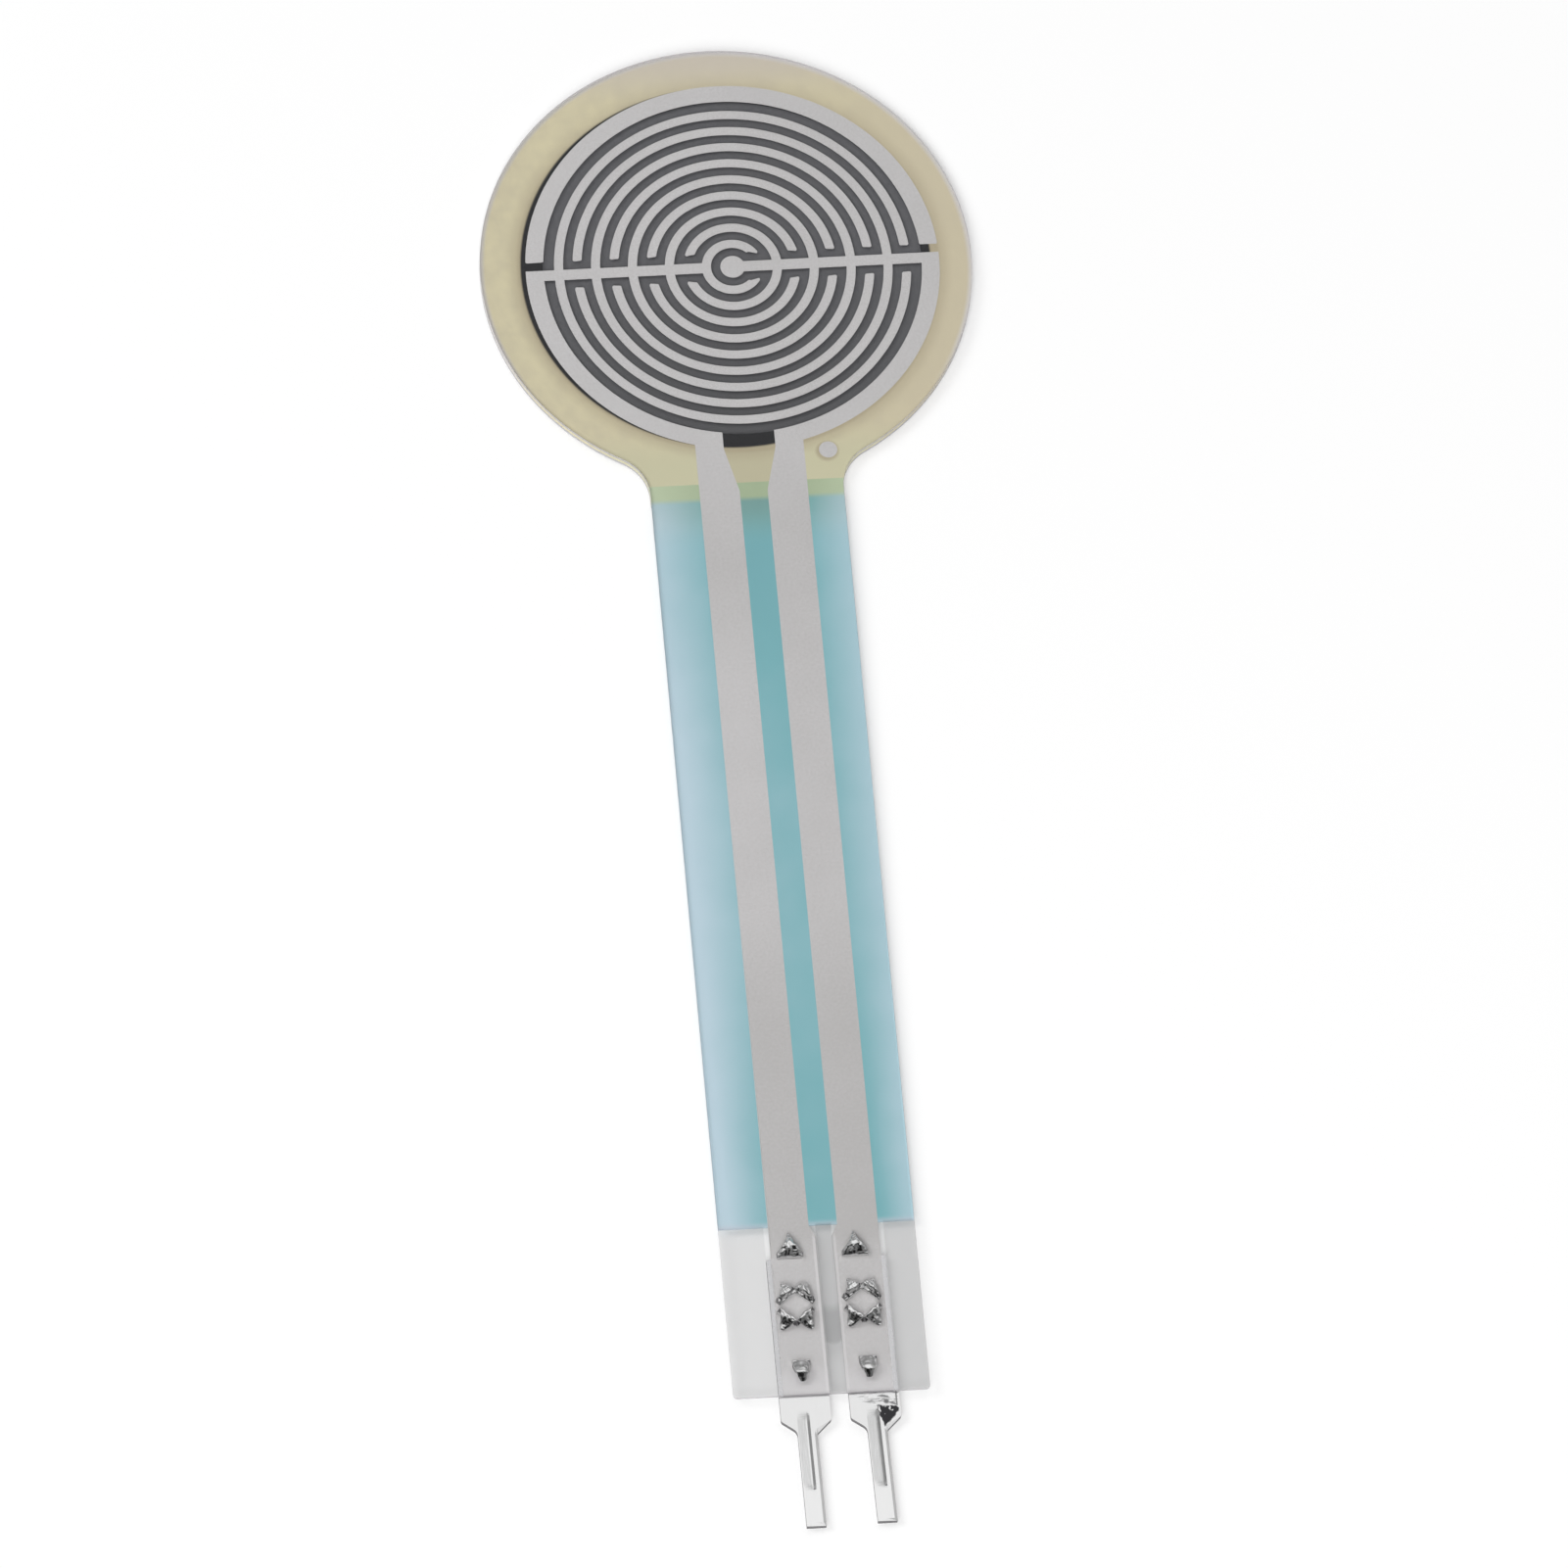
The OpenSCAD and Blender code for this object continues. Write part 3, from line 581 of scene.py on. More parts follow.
def windowSides():
    # Middle, outward direction and mirror signs of the window's four sloping sides
    slope = math.atan2(contact["hexH"] - contact["hexSide"], contact["hexW"])
    found = []
    for mx in (1, -1):
        for my in (1, -1):
            middle = Vector((-mx * contact["hexW"] / 4, contact["windowUp"] + my * (contact["hexH"] + contact["hexSide"]) / 4))
            found.append((middle, slope, mx, my))
    return found


strayed = {-1: {"top": (-0.05, 0.09), "upper": (0.0, 0.0), "lower": (-0.03, -0.03), "bottom": (0.0, -0.04)},
           1: {"top": (-0.2, 0.05), "upper": (-0.1, 0.03), "lower": (-0.1, -0.02), "bottom": (-0.1, 0.0)}}


def tineFrames(side):
    # Each tine's own frame: root middle, root direction, outward direction, root width and kind
    frames = []
    for middle, slope, mx, my in windowSides():
        along = Vector((mx * math.cos(slope), my * math.sin(slope)))
        out = Vector((-mx * math.sin(slope), my * math.cos(slope)))
        frames.append((middle, along, out, contact["midRootW"], "upper" if my > 0 else "lower"))
    frames.append((Vector((0, contact["plateIn"])), Vector((1, 0)), Vector((0, 1)), contact["endRootW"], "top"))
    frames.append((Vector((0, contact["lowUp"])), Vector((-1, 0)), Vector((0, -1)), contact["lowRootW"], "bottom"))
    # No two crimps come out quite alike
    strays = strayed[side]
    return [(f[0] + Vector(strays[f[4]]),) + f[1:] for f in frames]


def slitLoops(side):
    loops = []
    for middle, along, out, width, kind in tineFrames(side):
        a = along * (width / 2 + contact["slitFit"])
        gap = contact["lowGap"] if kind == "lower" else contact["slitFit"]
        b, c = out * contact["slitFit"], -out * (contact["stripT"] + gap)
        loops.append([tuple(padPlace(side) + middle + p) for p in (a + b, -a + b, -a + c, a + c)])
    return loops


allSlits = slitLoops(-1) + slitLoops(1)

# ---- films ----
sag = {"depth": 0.03, "top": -40.35, "full": -41.2, "slope": 0.12}


def filmDrop(x, y):
    # Outside the plates the bare end of the film lies a little lower than over them
    over = 0.0
    for left, right in ((-1.97, -0.02), (0.51, 2.49)):
        inside = smoothStep(x, left - sag["slope"], left) * (1 - smoothStep(x, right, right + sag["slope"]))
        over = max(over, inside)
    return sag["depth"] * (1 - over) * smoothStep(-y, -sag["top"], -sag["full"])


pucker = {"inside": 0.055, "outside": 0.02, "reach": 0.17}
puckerSpots = [(padPlace(side) + f[0], f[1], f[2], f[3]) for side in (-1, 1) for f in tineFrames(side)]


def filmRise(x, y):
    # The film and its print are pushed up where a tine comes through them
    rise = 0.0
    if y > -40.4:
        return rise
    for spot, along, out, width in puckerSpots:
        off = Vector((x, y)) - spot
        u, v = off.dot(along), off.dot(out)
        asideBy = max(0.0, abs(u) - width * 0.4)
        if v < -contact["stripT"] / 2:
            height, beyond = pucker["inside"], max(0.0, -contact["stripT"] - v)
        else:
            height, beyond = pucker["outside"], max(0.0, v)
        rise = max(rise, height * math.exp(-(math.hypot(asideBy, beyond) / pucker["reach"]) ** 2))
    return rise


padGrid = [(-2.0 + 0.085 * i + 0.02 * (j % 2), -46.9 + 0.085 * j) for i in range(53) for j in range(76)]
tailGrid = [(-3.5 + 0.1 * i + 0.013 * (j % 2), -46.9 + 0.25 * j) for i in range(71) for j in range(28)]
tailGrid = [p for p in tailGrid if not (-2.1 < p[0] < 2.6 and p[1] < -40.4)]
frontFilm = slab("front_film_sheet", [filmOutline()] + allSlits,
                 lambda x, y: layers["filmLow"] - filmDrop(x, y) + filmRise(x, y),
                 lambda x, y: layers["filmTop"] - filmDrop(x, y) + filmRise(x, y),
                 [filmSkin, edgeSkin], tailGrid + padGrid, wall=1)
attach(frontFilm, "root")
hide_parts("front_film")

backFilm = slab("back_film_sheet", [filmOutline(outline["backEnd"])], 0.0, layers["backTop"] - 0.003,
                [backSkin, edgeSkin], wall=1)
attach(backFilm, "root")
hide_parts("back_film")
print("stage: films ready")

# ---- silver print ----


def ringTree():
    # Finger rings, their spine and hub, joined with the mesh that the modifier sits on
    tree = bpy.data.node_groups.new("printed rings", "GeometryNodeTree")
    sockets = [("Geometry", "Geometry"), ("Rings", "Int"), ("First radius", "Float"), ("Ring step", "Float"),
               ("Line width", "Float"), ("Tip gap", "Float"), ("Tip rounding", "Float"), ("Open side", "Float"),
               ("Sweep", "Float"), ("Spine from", "Float"), ("Spine to", "Float"), ("Spine width", "Float"),
               ("Hub radius", "Float"), ("Edge wander", "Float"), ("Seed", "Float"), ("Shift", "Float"),
               ("Low", "Float"), ("High", "Float"), ("Ink", "Material")]
    for name, kind in sockets:
        tree.interface.new_socket(name, in_out="INPUT", socket_type="NodeSocket" + kind)
    tree.interface.new_socket("Geometry", in_out="OUTPUT", socket_type="NodeSocketGeometry")
    start = tree.nodes.new("NodeGroupInput").outputs

    strip = addNode(tree, "GeometryNodeMeshGrid", {"Size X": 1.0, "Size Y": 1.0, "Vertices X": 260, "Vertices Y": 2})
    seats = addNode(tree, "GeometryNodeMeshLine", {"Count": start["Rings"], "Offset": (0, 0, 1.0)})
    strips = addNode(tree, "GeometryNodeInstanceOnPoints", {"Points": seats, "Instance": strip})
    loose = addNode(tree, "GeometryNodeRealizeInstances", [strips])
    axes = addNode(tree, "ShaderNodeSeparateXYZ", [addNode(tree, "GeometryNodeInputPosition")])
    radius = addNode(tree, "ShaderNodeMath", [axes.outputs[2], start["Ring step"], start["First radius"]],
                     operation="MULTIPLY_ADD")
    halfWidth = addNode(tree, "ShaderNodeMath", [start["Line width"], 0.5], operation="MULTIPLY")
    side = addNode(tree, "ShaderNodeMath", [axes.outputs[1], 2.0], operation="MULTIPLY")
    edge = addNode(tree, "ShaderNodeMath", [side, halfWidth, radius], operation="MULTIPLY_ADD")
    gapShare = addNode(tree, "ShaderNodeMath", [start["Tip gap"], edge], operation="DIVIDE")
    gapTurn = addNode(tree, "ShaderNodeMath", [gapShare], operation="ARCSINE")
    turn = addNode(tree, "ShaderNodeMath", [gapTurn, -2.0, start["Sweep"]], operation="MULTIPLY_ADD")
    # Points crowd towards the tips, where the line rounds off
    share = addNode(tree, "ShaderNodeMath", [axes.outputs[0], 0.5], operation="ADD")
    wave = addNode(tree, "ShaderNodeMath", [addNode(tree, "ShaderNodeMath", [share, 2 * math.pi], operation="MULTIPLY")],
                   operation="SINE")
    crowded = addNode(tree, "ShaderNodeMath", [wave, -0.98 / (2 * math.pi), share], operation="MULTIPLY_ADD")
    angle = addNode(tree, "ShaderNodeMath", [crowded, turn, gapTurn], operation="MULTIPLY_ADD")
    angle = addNode(tree, "ShaderNodeMath", [angle, start["Open side"]], operation="ADD")
    back = addNode(tree, "ShaderNodeMath", [1.0, crowded], operation="SUBTRACT")
    nearer = addNode(tree, "ShaderNodeMath", [crowded, back], operation="MINIMUM")
    reach = addNode(tree, "ShaderNodeMath", [turn, radius], operation="MULTIPLY")
    fromTip = addNode(tree, "ShaderNodeMath", [nearer, reach], operation="MULTIPLY")
    inset = addNode(tree, "ShaderNodeMath", [start["Tip rounding"], fromTip], operation="SUBTRACT")
    inset = addNode(tree, "ShaderNodeMath", [inset, 0.0], operation="MAXIMUM")
    square = addNode(tree, "ShaderNodeMath", [inset, inset], operation="MULTIPLY")
    full = addNode(tree, "ShaderNodeMath", [start["Tip rounding"], start["Tip rounding"]], operation="MULTIPLY")
    rise = addNode(tree, "ShaderNodeMath", [addNode(tree, "ShaderNodeMath", [full, square], operation="SUBTRACT")],
                   operation="SQRT")
    core = addNode(tree, "ShaderNodeMath", [halfWidth, start["Tip rounding"]], operation="SUBTRACT")
    half = addNode(tree, "ShaderNodeMath", [core, rise], operation="ADD")
    edgeR = addNode(tree, "ShaderNodeMath", [side, half, radius], operation="MULTIPLY_ADD")
    cosine = addNode(tree, "ShaderNodeMath", [angle], operation="COSINE")
    sine = addNode(tree, "ShaderNodeMath", [angle], operation="SINE")
    around = addNode(tree, "ShaderNodeCombineXYZ", [cosine, sine, 0.0])
    spot = addNode(tree, "ShaderNodeVectorMath", {0: around, "Scale": edgeR}, operation="SCALE")
    noise = addNode(tree, "ShaderNodeTexNoise", {"Vector": spot, "W": start["Seed"], "Scale": 1.6, "Detail": 1.0},
                    noise_dimensions="4D")
    offMiddle = addNode(tree, "ShaderNodeMath", [noise, -0.5], operation="ADD")
    wander = addNode(tree, "ShaderNodeMath", [offMiddle, start["Edge wander"], edgeR], operation="MULTIPLY_ADD")
    spot = addNode(tree, "ShaderNodeVectorMath", {0: around, "Scale": wander}, operation="SCALE")
    rings = addNode(tree, "GeometryNodeSetPosition", {"Geometry": loose, "Position": spot})

    hub = addNode(tree, "GeometryNodeMeshCircle", {"Vertices": 72, "Radius": start["Hub radius"]},
                  fill_type="TRIANGLE_FAN")
    spineLong = addNode(tree, "ShaderNodeMath", [start["Spine to"], start["Spine from"]], operation="SUBTRACT")
    spineMid = addNode(tree, "ShaderNodeMath", [start["Spine to"], start["Spine from"]], operation="ADD")
    spineMid = addNode(tree, "ShaderNodeMath", [spineMid, 0.5], operation="MULTIPLY")
    spine = addNode(tree, "GeometryNodeMeshGrid", {"Size X": spineLong, "Size Y": start["Spine width"],
                                                   "Vertices X": 2, "Vertices Y": 2})
    spine = addNode(tree, "GeometryNodeTransform", {0: spine, "Translation": addNode(tree, "ShaderNodeCombineXYZ", [spineMid])})

    # Every flat shape becomes a closed block of ink, and the blocks become one
    thick = addNode(tree, "ShaderNodeMath", [start["High"], start["Low"]], operation="SUBTRACT")
    upwards = addNode(tree, "ShaderNodeCombineXYZ", [0.0, 0.0, thick])
    blocks = []
    for flat, wanted in ((rings, None), (hub, start["Hub radius"]), (spine, spineLong), (start["Geometry"], None)):
        top = addNode(tree, "GeometryNodeExtrudeMesh", {0: flat, "Offset": upwards, "Offset Scale": 1.0, "Individual": False})
        under = addNode(tree, "GeometryNodeFlipFaces", [flat])
        both = addNode(tree, "GeometryNodeJoinGeometry", [[top, under]])
        block = addNode(tree, "GeometryNodeMergeByDistance", {0: both, "Distance": 0.0005})
        if wanted is not None:
            wanted = addNode(tree, "FunctionNodeCompare", {"A": wanted, "B": 0.0}, operation="GREATER_THAN")
            block = addNode(tree, "GeometryNodeSwitch", {"Switch": wanted, "True": block}, input_type="GEOMETRY")
        blocks.append(block)
    whole = addNode(tree, "GeometryNodeMeshBoolean", {"Mesh 2": blocks, "Self Intersection": True},
                    operation="UNION", solver="EXACT")
    lift = addNode(tree, "ShaderNodeCombineXYZ", [start["Shift"], 0.0, start["Low"]])
    moved = addNode(tree, "GeometryNodeTransform", {0: whole, "Translation": lift})
    sized = addNode(tree, "GeometryNodeTransform", {0: moved, "Scale": (mm, mm, mm)})
    real = addNode(tree, "GeometryNodeRealizeInstances", [sized])
    inked = addNode(tree, "GeometryNodeSetMaterial", {0: real, "Material": start["Ink"]})
    addNode(tree, "NodeGroupOutput", [inked])
    return tree


def feedShape(side):
    # Quarter of the outer ring, trace and pad, in the print's own frame, anticlockwise on the right
    p = printing
    loop = []
    innerStart = -math.acos(p["windowHalf"] / p["outerIn"])
    innerEnd = math.asin(p["spineW"] / 2 / p["outerIn"])
    outerStart = -math.acos(p["traceOut"] / p["outerR"])
    outerEnd = math.asin(p["spineW"] / 2 / p["outerR"])
    inner = [(p["outerIn"] * math.cos(innerStart + (innerEnd - innerStart) * i / 90),
              p["outerIn"] * math.sin(innerStart + (innerEnd - innerStart) * i / 90)) for i in range(91)]
    outer = [(p["outerR"] * math.cos(outerEnd + (outerStart - outerEnd) * i / 90),
              p["outerR"] * math.sin(outerEnd + (outerStart - outerEnd) * i / 90)) for i in range(91)]
    end = outline["tailEnd"]
    loop = outer + roundedLoop([(p["traceOut"], -8.2, 0), (p["traceOut"], end, 0), (p["padIn"], end, 0),
                                (p["padIn"], p["padFull"], 0), (p["traceIn"], p["padTop"], 0),
                                (p["traceIn"], p["flareEnd"], 0), (p["windowHalf"], p["flareTop"], 0)])
    loop += inner
    if side < 0:
        loop = [(-x, y) for x, y in reversed(loop)]
    slits = [[(x - p["shift"], y) for x, y in s] for s in slitLoops(side)]
    inPad = [(x - p["shift"], y) for x, y in padGrid if p["padIn"] + 0.03 < side * (x - p["shift"]) < p["traceOut"] - 0.03
             and y < -40.6]
    points, faces = triangles([loop] + slits, inPad)
    faces = [f if turnsLeft([points[i] for i in f]) else tuple(reversed(f)) for f in faces]
    return [(x, y, 0.0) for x, y in points], faces


def silverPiece(name, node, tree, base, values):
    verts, faces = base
    mesh = bpy.data.meshes.new(name)
    mesh.from_pydata(verts, [], faces)
    mesh.materials.append(silverSkin)
    piece = bpy.data.objects.new(name, mesh)
    bpy.context.scene.collection.objects.link(piece)
    modifier = piece.modifiers.new("printed rings", "NODES")
    modifier.node_group = tree
    values = {**values, "Shift": printing["shift"], "Low": layers["printLow"], "High": layers["printTop"], "Ink": silverSkin}
    for item in tree.interface.items_tree:
        if item.in_out == "INPUT" and item.name in values:
            modifier[item.identifier] = values[item.name]
    applied(piece)
    for vertex in piece.data.vertices:
        vertex.co.z += filmRise(vertex.co.x / mm, vertex.co.y / mm) * mm
    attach(piece, "root")
    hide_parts(node)
    return piece


def smallSquare(x, y, half=0.05):
    return [(x - half, y - half, 0), (x + half, y - half, 0), (x + half, y + half, 0), (x - half, y + half, 0)], [(0, 1, 2, 3)]


rings = ringTree()
p = printing
fingers = {"Ring step": 2 * p["pitch"], "Line width": p["lineW"], "Tip gap": p["tipGap"], "Tip rounding": p["tipRound"],
           "Sweep": 2 * math.pi, "Spine width": p["spineW"], "Edge wander": p["edgeWander"]}
silverPiece("left_electrode_print", "electrode_left", rings, feedShape(-1),
            {**fingers, "Rings": 5, "First radius": p["firstR"], "Open side": 0.0, "Spine from": -7.39,
             "Spine to": -p["firstR"], "Hub radius": 0.0, "Seed": 2.0})
silverPiece("right_electrode_print", "electrode_right", rings, feedShape(1),
            {**fingers, "Rings": 4, "First radius": p["firstR"] + p["pitch"], "Open side": math.pi, "Spine from": 0.0,
             "Spine to": 7.39, "Hub radius": p["dotR"], "Seed": 5.0})
silverPiece("outer_arc_print", "guard_arc", rings, smallSquare(0, 7.39),
            {**fingers, "Rings": 1, "First radius": 7.405, "Line width": 0.67, "Open side": 0.0, "Sweep": math.pi,
             "Spine from": 0.0, "Spine to": 0.0, "Hub radius": 0.0, "Seed": 8.0})
print("stage: silver print ready")

# ---- CAD nodes that keep their shape ----
for node, skin in (("insulation_coat", coatSkin), ("spacer_adhesive", adhesiveSkin), ("carbon_disc", carbonSkin),
                   ("register_mark", silverSkin)):
    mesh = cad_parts[node].data
    mesh.materials.clear()
    mesh.materials.append(skin)

# ---- contacts ----


def contactPlate(side):
    c = contact
    w, q = c["plateHalf"], c["pinHalf"]
    top = c["plateIn"] - c["stripT"] + strayed[side]["top"][1]
    edge = roundedLoop([(-w, top, 0.03), (-w, c["shoulderY"], c["shoulderR"]), (-q, c["shoulderY"] - c["dropLeft"], c["rootR"]),
                        (-q, c["pinTip"][side], 0.02), (q, c["pinTip"][side], 0.02), (q, c["shoulderY"] - c["dropRight"], c["rootR"] / 3),
                        (w, c["shoulderY"], c["shoulderR"]), (w, top, 0.03)])
    up, hw, hs, hh = c["windowUp"], c["hexW"] / 2, c["hexSide"] / 2, c["hexH"] / 2
    window = [(0, up + hh), (-hw, up + hs), (-hw, up - hs), (0, up - hh), (hw, up - hs), (hw, up + hs)]
    low, lw, tw = c["lowUp"], c["lowRootW"] / 2, c["tipW"] / 2
    hole = [(-lw, low), (lw, low), (tw, low + c["lowHoleH"]), (-tw, low + c["lowHoleH"])]
    place = padPlace(side)
    across = c["groove"][side]
    groove = [(u, -0.5 - 0.06 * i) for i in range(78) for u in [a[0] for a in across] + [0.26, 0.345]]

    def pinTop(x, y):
        # Coined groove along the pin: a wide shallow flank on the left and a steep one on the right
        u, v = x - place.x, y - place.y
        along = smoothStep(-v, 0.55, 1.05) * (1 - smoothStep(-v, 3.5, 3.95 - 0.3 * u))
        top = layers["plateTop"]
        if v < -1.3:
            top -= c["edgeFall"] * max(0.0, u - 0.26) / 0.09 * smoothStep(-v, 1.3, 1.6)
        for (u0, d0), (u1, d1) in zip(across, across[1:]):
            if u0 <= u <= u1:
                return top - along * (d0 + (d1 - d0) * (u - u0) / (u1 - u0))
        return top

    window = [(x + strayed[side]["upper"][0], y) for x, y in window]
    hole = [(x + strayed[side]["bottom"][0], y + strayed[side]["bottom"][1]) for x, y in hole]
    shifted = [[tuple(place + Vector(p)) for p in loop] for loop in (edge, window, hole)]
    plate = slab("plate", shifted, layers["plateLow"], pinTop, [tinSkin, shearSkin],
                 [tuple(place + Vector(p)) for p in groove], wall=1)
    # The pins aren't quite parallel
    for vertex in plate.data.vertices:
        vertex.co.x += c["pinLean"][side] * max(0.0, place.y * mm - vertex.co.y)
    return plate


# The outer face of each kind of tine runs through these places: outwards from the root, and height
tineKinds = {
    "top": {"path": ((-0.2, 0.1), (-0.2, 0.27), (-0.2, 0.4), (-0.165, 0.48), (-0.09, 0.545), (0.0, 0.595), (0.1, 0.635),
                     (0.2, 0.655), (0.32, 0.64), (0.52, 0.54), (0.68, 0.45), (0.78, 0.4)),
            "full": 0.95, "tip": 0.08, "lean": 0.0, "folds": 2.9, "foldDepth": 0.04, "camber": 0.06, "twist": 0.0, "crumple": 0.045},
    "upper": {"path": ((-0.2, 0.1), (-0.2, 0.27), (-0.2, 0.4), (-0.17, 0.47), (-0.1, 0.535), (-0.02, 0.59), (0.06, 0.605),
                       (0.15, 0.58), (0.26, 0.52), (0.36, 0.45), (0.42, 0.41)),
              "full": 0.75, "tip": 0.08, "lean": 0.16, "folds": 1.7, "foldDepth": 0.02, "camber": 0.09, "twist": 0.0, "crumple": 0.06},
    "lower": {"path": ((-0.2, 0.1), (-0.2, 0.27), (-0.2, 0.42), (-0.19, 0.54), (-0.16, 0.6), (-0.1, 0.622), (-0.01, 0.595),
                       (0.12, 0.535), (0.26, 0.47), (0.38, 0.425), (0.46, 0.4)),
              "full": 0.6, "tip": 0.1, "lean": 0.08, "folds": 1.6, "foldDepth": 0.02, "camber": 0.04, "twist": -0.03, "crumple": 0.035},
    "bottom": {"path": ((-0.2, 0.1), (-0.2, 0.27), (-0.19, 0.4), (-0.14, 0.46), (0.0, 0.52), (0.18, 0.6), (0.34, 0.65),
                        (0.44, 0.648), (0.54, 0.598), (0.64, 0.54), (0.74, 0.48)),
               "full": 0.46, "tip": 0.18, "lean": 0.0, "folds": 1.2, "foldDepth": 0.015, "camber": 0.09, "twist": 0.02, "crumple": 0.02},
}
tineSeeds = {-1: {"top": 24.0, "upper": 6.1, "lower": 6.1, "bottom": 24.0}, 1: {"top": 6.0, "upper": 6.0, "lower": 6.0, "bottom": 6.0}}
tineGrid = {"rows": 46, "columns": 22, "rootThick": 0.2, "tipThick": 0.06, "grain": 6.0}


def curvePoint(points, share):
    # Smooth curve through the points, with share from 0 to 1
    spans = len(points) - 1
    k = min(int(share * spans), spans - 1)
    t = share * spans - k
    p0, p1, p2, p3 = (Vector(points[max(0, min(spans, k + i))]) for i in (-1, 0, 1, 2))
    return 0.5 * (2 * p1 + (p2 - p0) * t + (2 * p0 - 5 * p1 + 4 * p2 - p3) * t * t + (3 * p1 - p0 - 3 * p2 + p3) * t ** 3)


def tineMesh(side, frameOf, seed):
    # One tine, from its bend out of the plate, up through the film and over, to a point
    middle, along, out, width, kind = frameOf
    shape, g = tineKinds[kind], tineGrid
    place = padPlace(side)
    rows, columns = g["rows"], g["columns"]
    outer, inner = [], []
    for r in range(rows + 1):
        share = r / rows
        v, z = curvePoint(shape["path"], share)
        ahead, behindIt = curvePoint(shape["path"], min(1, share + 0.01)), curvePoint(shape["path"], max(0, share - 0.01))
        slope = (ahead - behindIt).normalized()
        normal = Vector((-slope.y, slope.x))
        pastRoot = smoothStep(share, 0.22, 1.0)
        half = shape["tip"] / 2 + (width - shape["tip"]) / 2 * (1 - pastRoot) ** shape["full"]
        thick = g["rootThick"] + (g["tipThick"] - g["rootThick"]) * smoothStep(share, 0.2, 0.8)
        free = smoothStep(share, 0.18, 0.3)
        fold = shape["foldDepth"] * free * (1 - smoothStep(share, 0.4, 0.62))
        for c in range(columns + 1):
            a = 2 * c / columns - 1
            crease = noise.noise(Vector((a * half * g["grain"], v * g["grain"], z * g["grain"] + seed * 3.7)))
            fine = noise.noise(Vector((a * half * 14, v * 14, z * 14 + seed * 5.1)))
            off = (shape["twist"] * a - shape["camber"] * a * a) * free * (1 - 0.6 * pastRoot)
            off += -fold * (0.5 + 0.5 * math.cos(math.pi * shape["folds"] * a + seed)) + shape["crumple"] * free * (crease + 0.35 * fine)
            for store, depth in ((outer, off), (inner, off - thick)):
                place3 = place + middle + along * (a * half * (1 + 0.06 * crease) + shape["lean"] * pastRoot) \
                    + out * (v + normal.x * depth)
                store.append((place3.x, place3.y, min(z + normal.y * depth, layers["crownTop"])))
    verts = outer + inner
    count, wide = len(outer), columns + 1
    faces, edges = [], []
    for r in range(rows):
        for c in range(columns):
            i = r * wide + c
            faces.append((i, i + 1, i + 1 + wide, i + wide))
            faces.append((count + i, count + i + wide, count + i + 1 + wide, count + i + 1))
    for r in range(rows):
        i, j = r * wide, r * wide + columns
        edges += [(i, i + wide, count + i + wide, count + i), (j, count + j, count + j + wide, j + wide)]
    for c in range(columns):
        i, j = c, rows * wide + c
        edges += [(i, count + i, count + i + 1, i + 1), (j, j + 1, count + j + 1, count + j)]
    return verts, faces, edges


def contactPiece(name, node, side):
    plate = contactPlate(side)
    bevel = plate.modifiers.new("edge", "BEVEL")
    bevel.width, bevel.segments, bevel.limit_method, bevel.angle_limit = contact["edgeRound"] * mm, 2, "ANGLE", math.radians(60)
    applied(plate)
    parts = [plate]
    for number, tine in enumerate(tineFrames(side)):
        verts, faces, edges = tineMesh(side, tine, number + tineSeeds[side][tine[4]])
        part = meshObject("tine", verts, faces + edges, [tinSkin, shearSkin])
        for polygon in part.data.polygons:
            polygon.use_smooth = polygon.index < len(faces)
            polygon.material_index = 0 if polygon.use_smooth else 1
        parts.append(part)
    whole = bmesh.new()
    for part in parts:
        shell = bmesh.new()
        shell.from_mesh(part.data)
        bmesh.ops.recalc_face_normals(shell, faces=shell.faces)
        shell.to_mesh(part.data)
        shell.free()
        whole.from_mesh(part.data)
    mesh = bpy.data.meshes.new(name)
    whole.to_mesh(mesh)
    whole.free()
    mesh.materials.append(tinSkin)
    mesh.materials.append(shearSkin)
    for part in parts:
        bpy.data.objects.remove(part)
    piece = bpy.data.objects.new(name, mesh)
    bpy.context.scene.collection.objects.link(piece)
    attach(piece, "root")
    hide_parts(node)
    return piece


contactPiece("left_contact", "contact_left", -1)
contactPiece("right_contact", "contact_right", 1)
print("stage: contacts ready")

# ---- floor, light and camera ----
floorMesh = bpy.data.meshes.new("floor")
floorMesh.from_pydata([(-3, -3, -0.00003), (3, -3, -0.00003), (3, 3, -0.00003), (-3, 3, -0.00003)], [], [(0, 1, 2, 3)])
floor = bpy.data.objects.new("floor", floorMesh)
bpy.context.scene.collection.objects.link(floor)
floorSkin = bpy.data.materials.new("white table")
floorSkin.use_nodes = True
tree = floorSkin.node_tree
tree.nodes.clear()
paper = addNode(tree, "ShaderNodeBsdfDiffuse", {"Color": (0.96, 0.96, 0.96, 1)})
glow = addNode(tree, "ShaderNodeEmission", {"Color": (1, 1, 1, 1), "Strength": 1.05})
path = addNode(tree, "ShaderNodeLightPath")
seen = addNode(tree, "ShaderNodeMath", [path.outputs["Is Camera Ray"], path.outputs["Is Glossy Ray"]], operation="MAXIMUM")
seen = addNode(tree, "ShaderNodeMath", [seen, path.outputs["Is Transmission Ray"]], operation="MAXIMUM")
share = addNode(tree, "ShaderNodeMath", [seen, 0.3], operation="MULTIPLY")
finishMaterial(tree, addNode(tree, "ShaderNodeMixShader", [share, paper, glow]))
floorMesh.materials.append(floorSkin)

world = bpy.data.worlds.new("studio")
bpy.context.scene.world = world
world.use_nodes = True
tree = world.node_tree
tree.nodes.clear()
coords = addNode(tree, "ShaderNodeTexCoord")
axes = addNode(tree, "ShaderNodeSeparateXYZ", [coords.outputs["Generated"]])
direction = coords.outputs["Generated"]
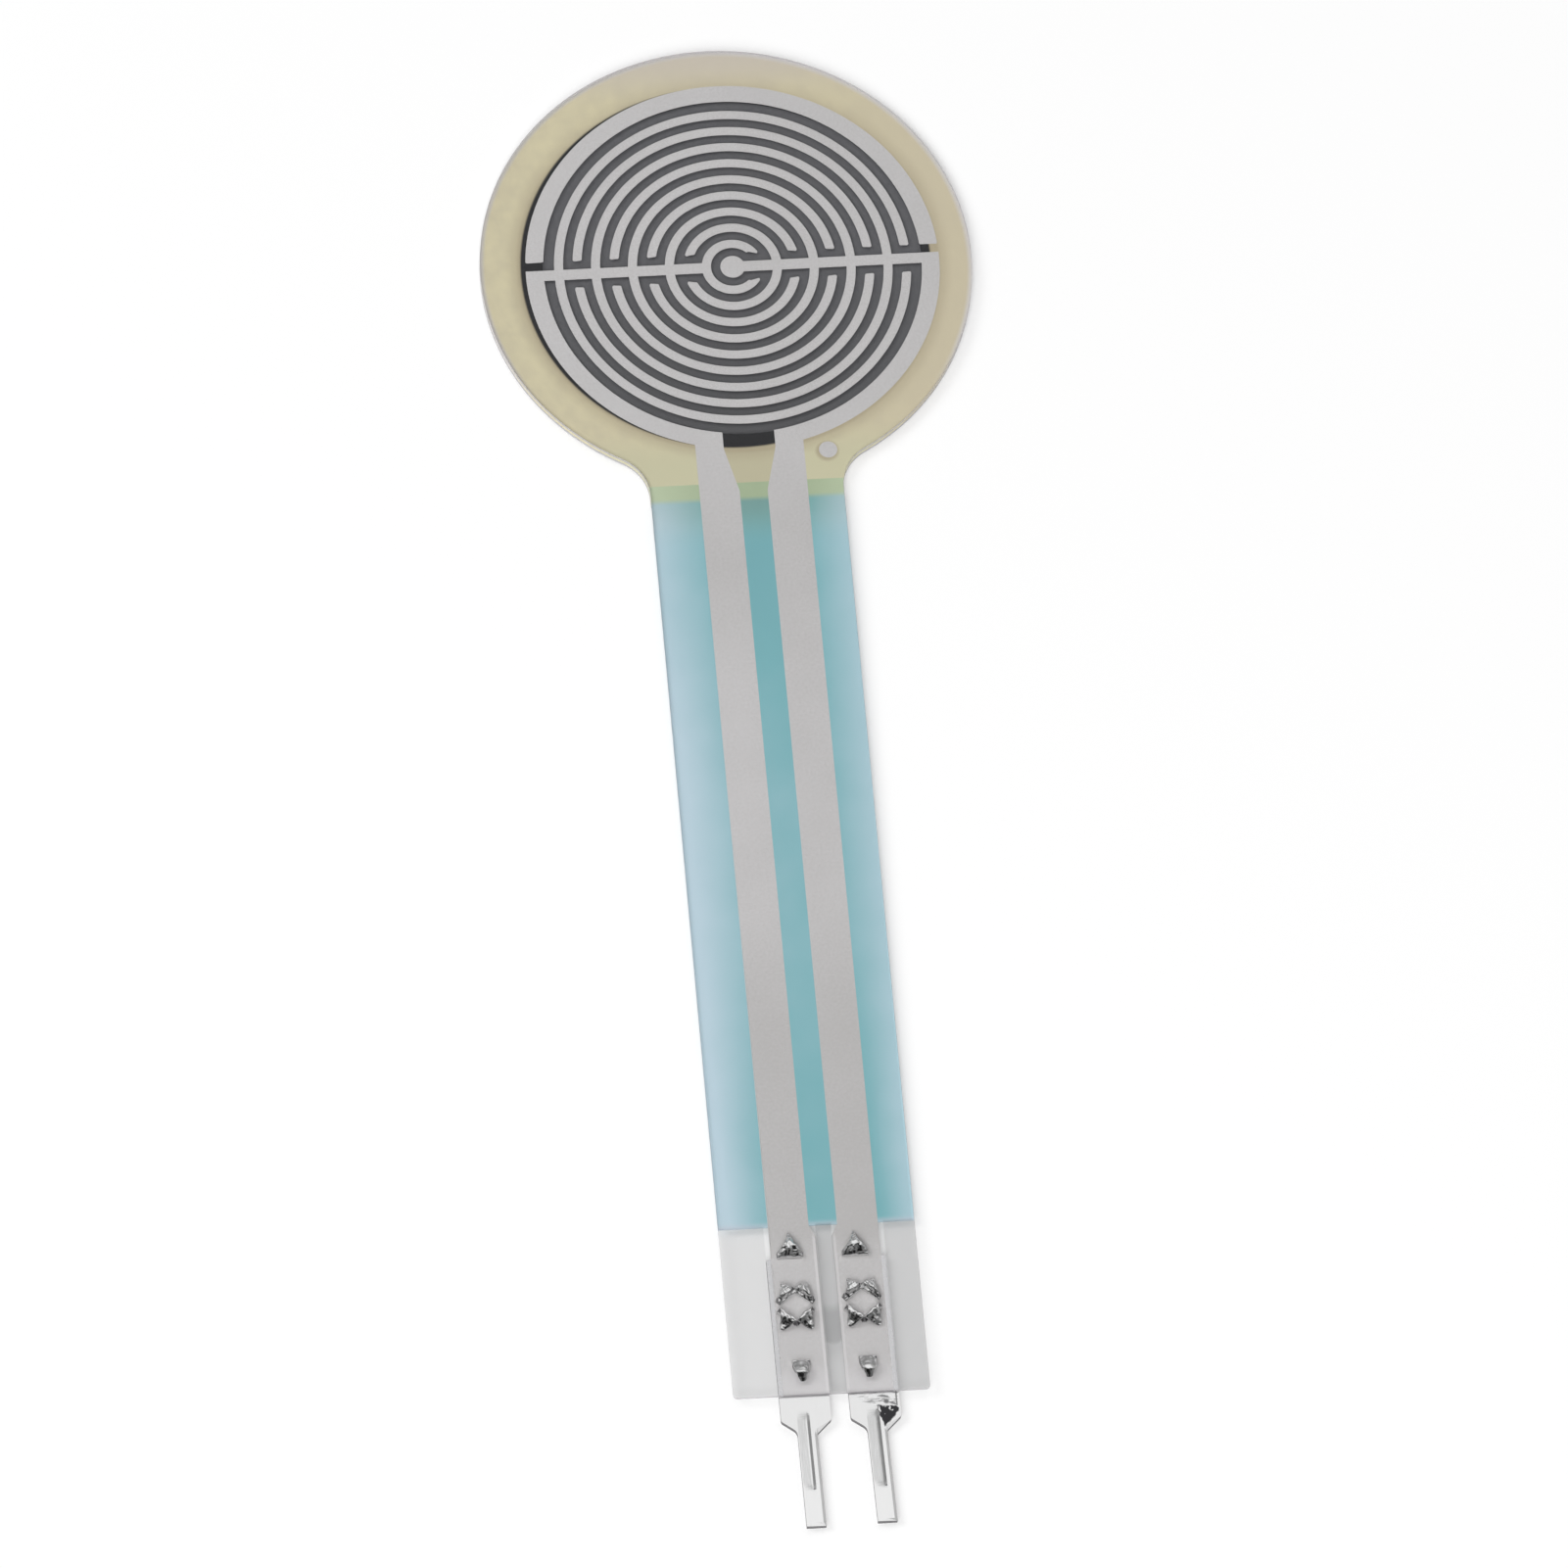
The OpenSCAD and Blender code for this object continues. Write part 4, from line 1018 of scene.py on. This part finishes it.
# Soft box above and behind, grey walls, and the dark of the camera's own side
toBox = addNode(tree, "ShaderNodeVectorMath", {0: direction, 1: (0.08, 0.46, 0.883)}, operation="DOT_PRODUCT").outputs["Value"]
box = addNode(tree, "ShaderNodeMapRange", [toBox, 0.7, 0.97, 0.0, 0.95], interpolation_type="SMOOTHSTEP")
behind = addNode(tree, "ShaderNodeMapRange", [axes.outputs[1], -0.25, 0.1, 0.0, 1.0], interpolation_type="SMOOTHSTEP")
front = addNode(tree, "ShaderNodeMapRange", [axes.outputs[2], 0.1, 0.5, 0.34, 0.13], interpolation_type="SMOOTHSTEP")
back = addNode(tree, "ShaderNodeMapRange", [axes.outputs[2], 0.15, 0.45, 0.22, 0.42], interpolation_type="SMOOTHSTEP")
walls = addNode(tree, "ShaderNodeMix", {0: behind, 2: front, 3: back}, data_type="FLOAT")
toCamera = addNode(tree, "ShaderNodeVectorMath", {0: direction, 1: (-0.083, -0.462, 0.883)}, operation="DOT_PRODUCT")
dark = addNode(tree, "ShaderNodeMapRange", [toCamera.outputs["Value"], 0.84, 0.95, 1.0, 0.02], interpolation_type="SMOOTHSTEP")
walls = addNode(tree, "ShaderNodeMath", [walls, dark], operation="MULTIPLY")
tent = addNode(tree, "ShaderNodeMath", [walls, box], operation="MAXIMUM")
path = addNode(tree, "ShaderNodeLightPath")
level = addNode(tree, "ShaderNodeMix", {0: path.outputs["Is Camera Ray"], 2: tent, 3: 1.0}, data_type="FLOAT")
addNode(tree, "ShaderNodeOutputWorld", [addNode(tree, "ShaderNodeBackground", {"Color": (1, 1, 1, 1), "Strength": level})])

lamps = {"front": ((-0.25, -0.9, 0.9), 0.8, 11.7), "left": ((-0.9, 0.2, 0.8), 0.6, 4.4)}
for name, (place, size, power) in lamps.items():
    light = bpy.data.lights.new(name, "AREA")
    light.shape, light.size, light.energy = "DISK", size, power
    lamp = bpy.data.objects.new(name, light)
    lamp.location = place
    lamp.rotation_euler = (Vector((0, -0.02, 0)) - Vector(place)).to_track_quat("-Z", "Y").to_euler()
    lamp.visible_glossy = False
    bpy.context.scene.collection.objects.link(lamp)

camera = bpy.data.cameras.new("camera")
camera.sensor_fit = "HORIZONTAL"
camera.sensor_width = 36.0
camera.lens = 24380.46 / 1601 * 36.0
camera.clip_start, camera.clip_end = 0.05, 10.0
eye = bpy.data.objects.new("camera", camera)
right, up, back = (0.995267, -0.083168, 0.050269), (0.050189, 0.882854, 0.466959), (-0.083216, -0.462225, 0.882849)
eye.matrix_world = Matrix((
    (right[0], up[0], back[0], -0.072941),
    (right[1], up[1], back[1], -0.428954),
    (right[2], up[2], back[2], 0.777548 + 0.00027),
    (0, 0, 0, 1)))
bpy.context.scene.collection.objects.link(eye)
bpy.context.scene.camera = eye
bpy.context.scene.view_settings.view_transform = "Standard"
print("stage: scene ready")
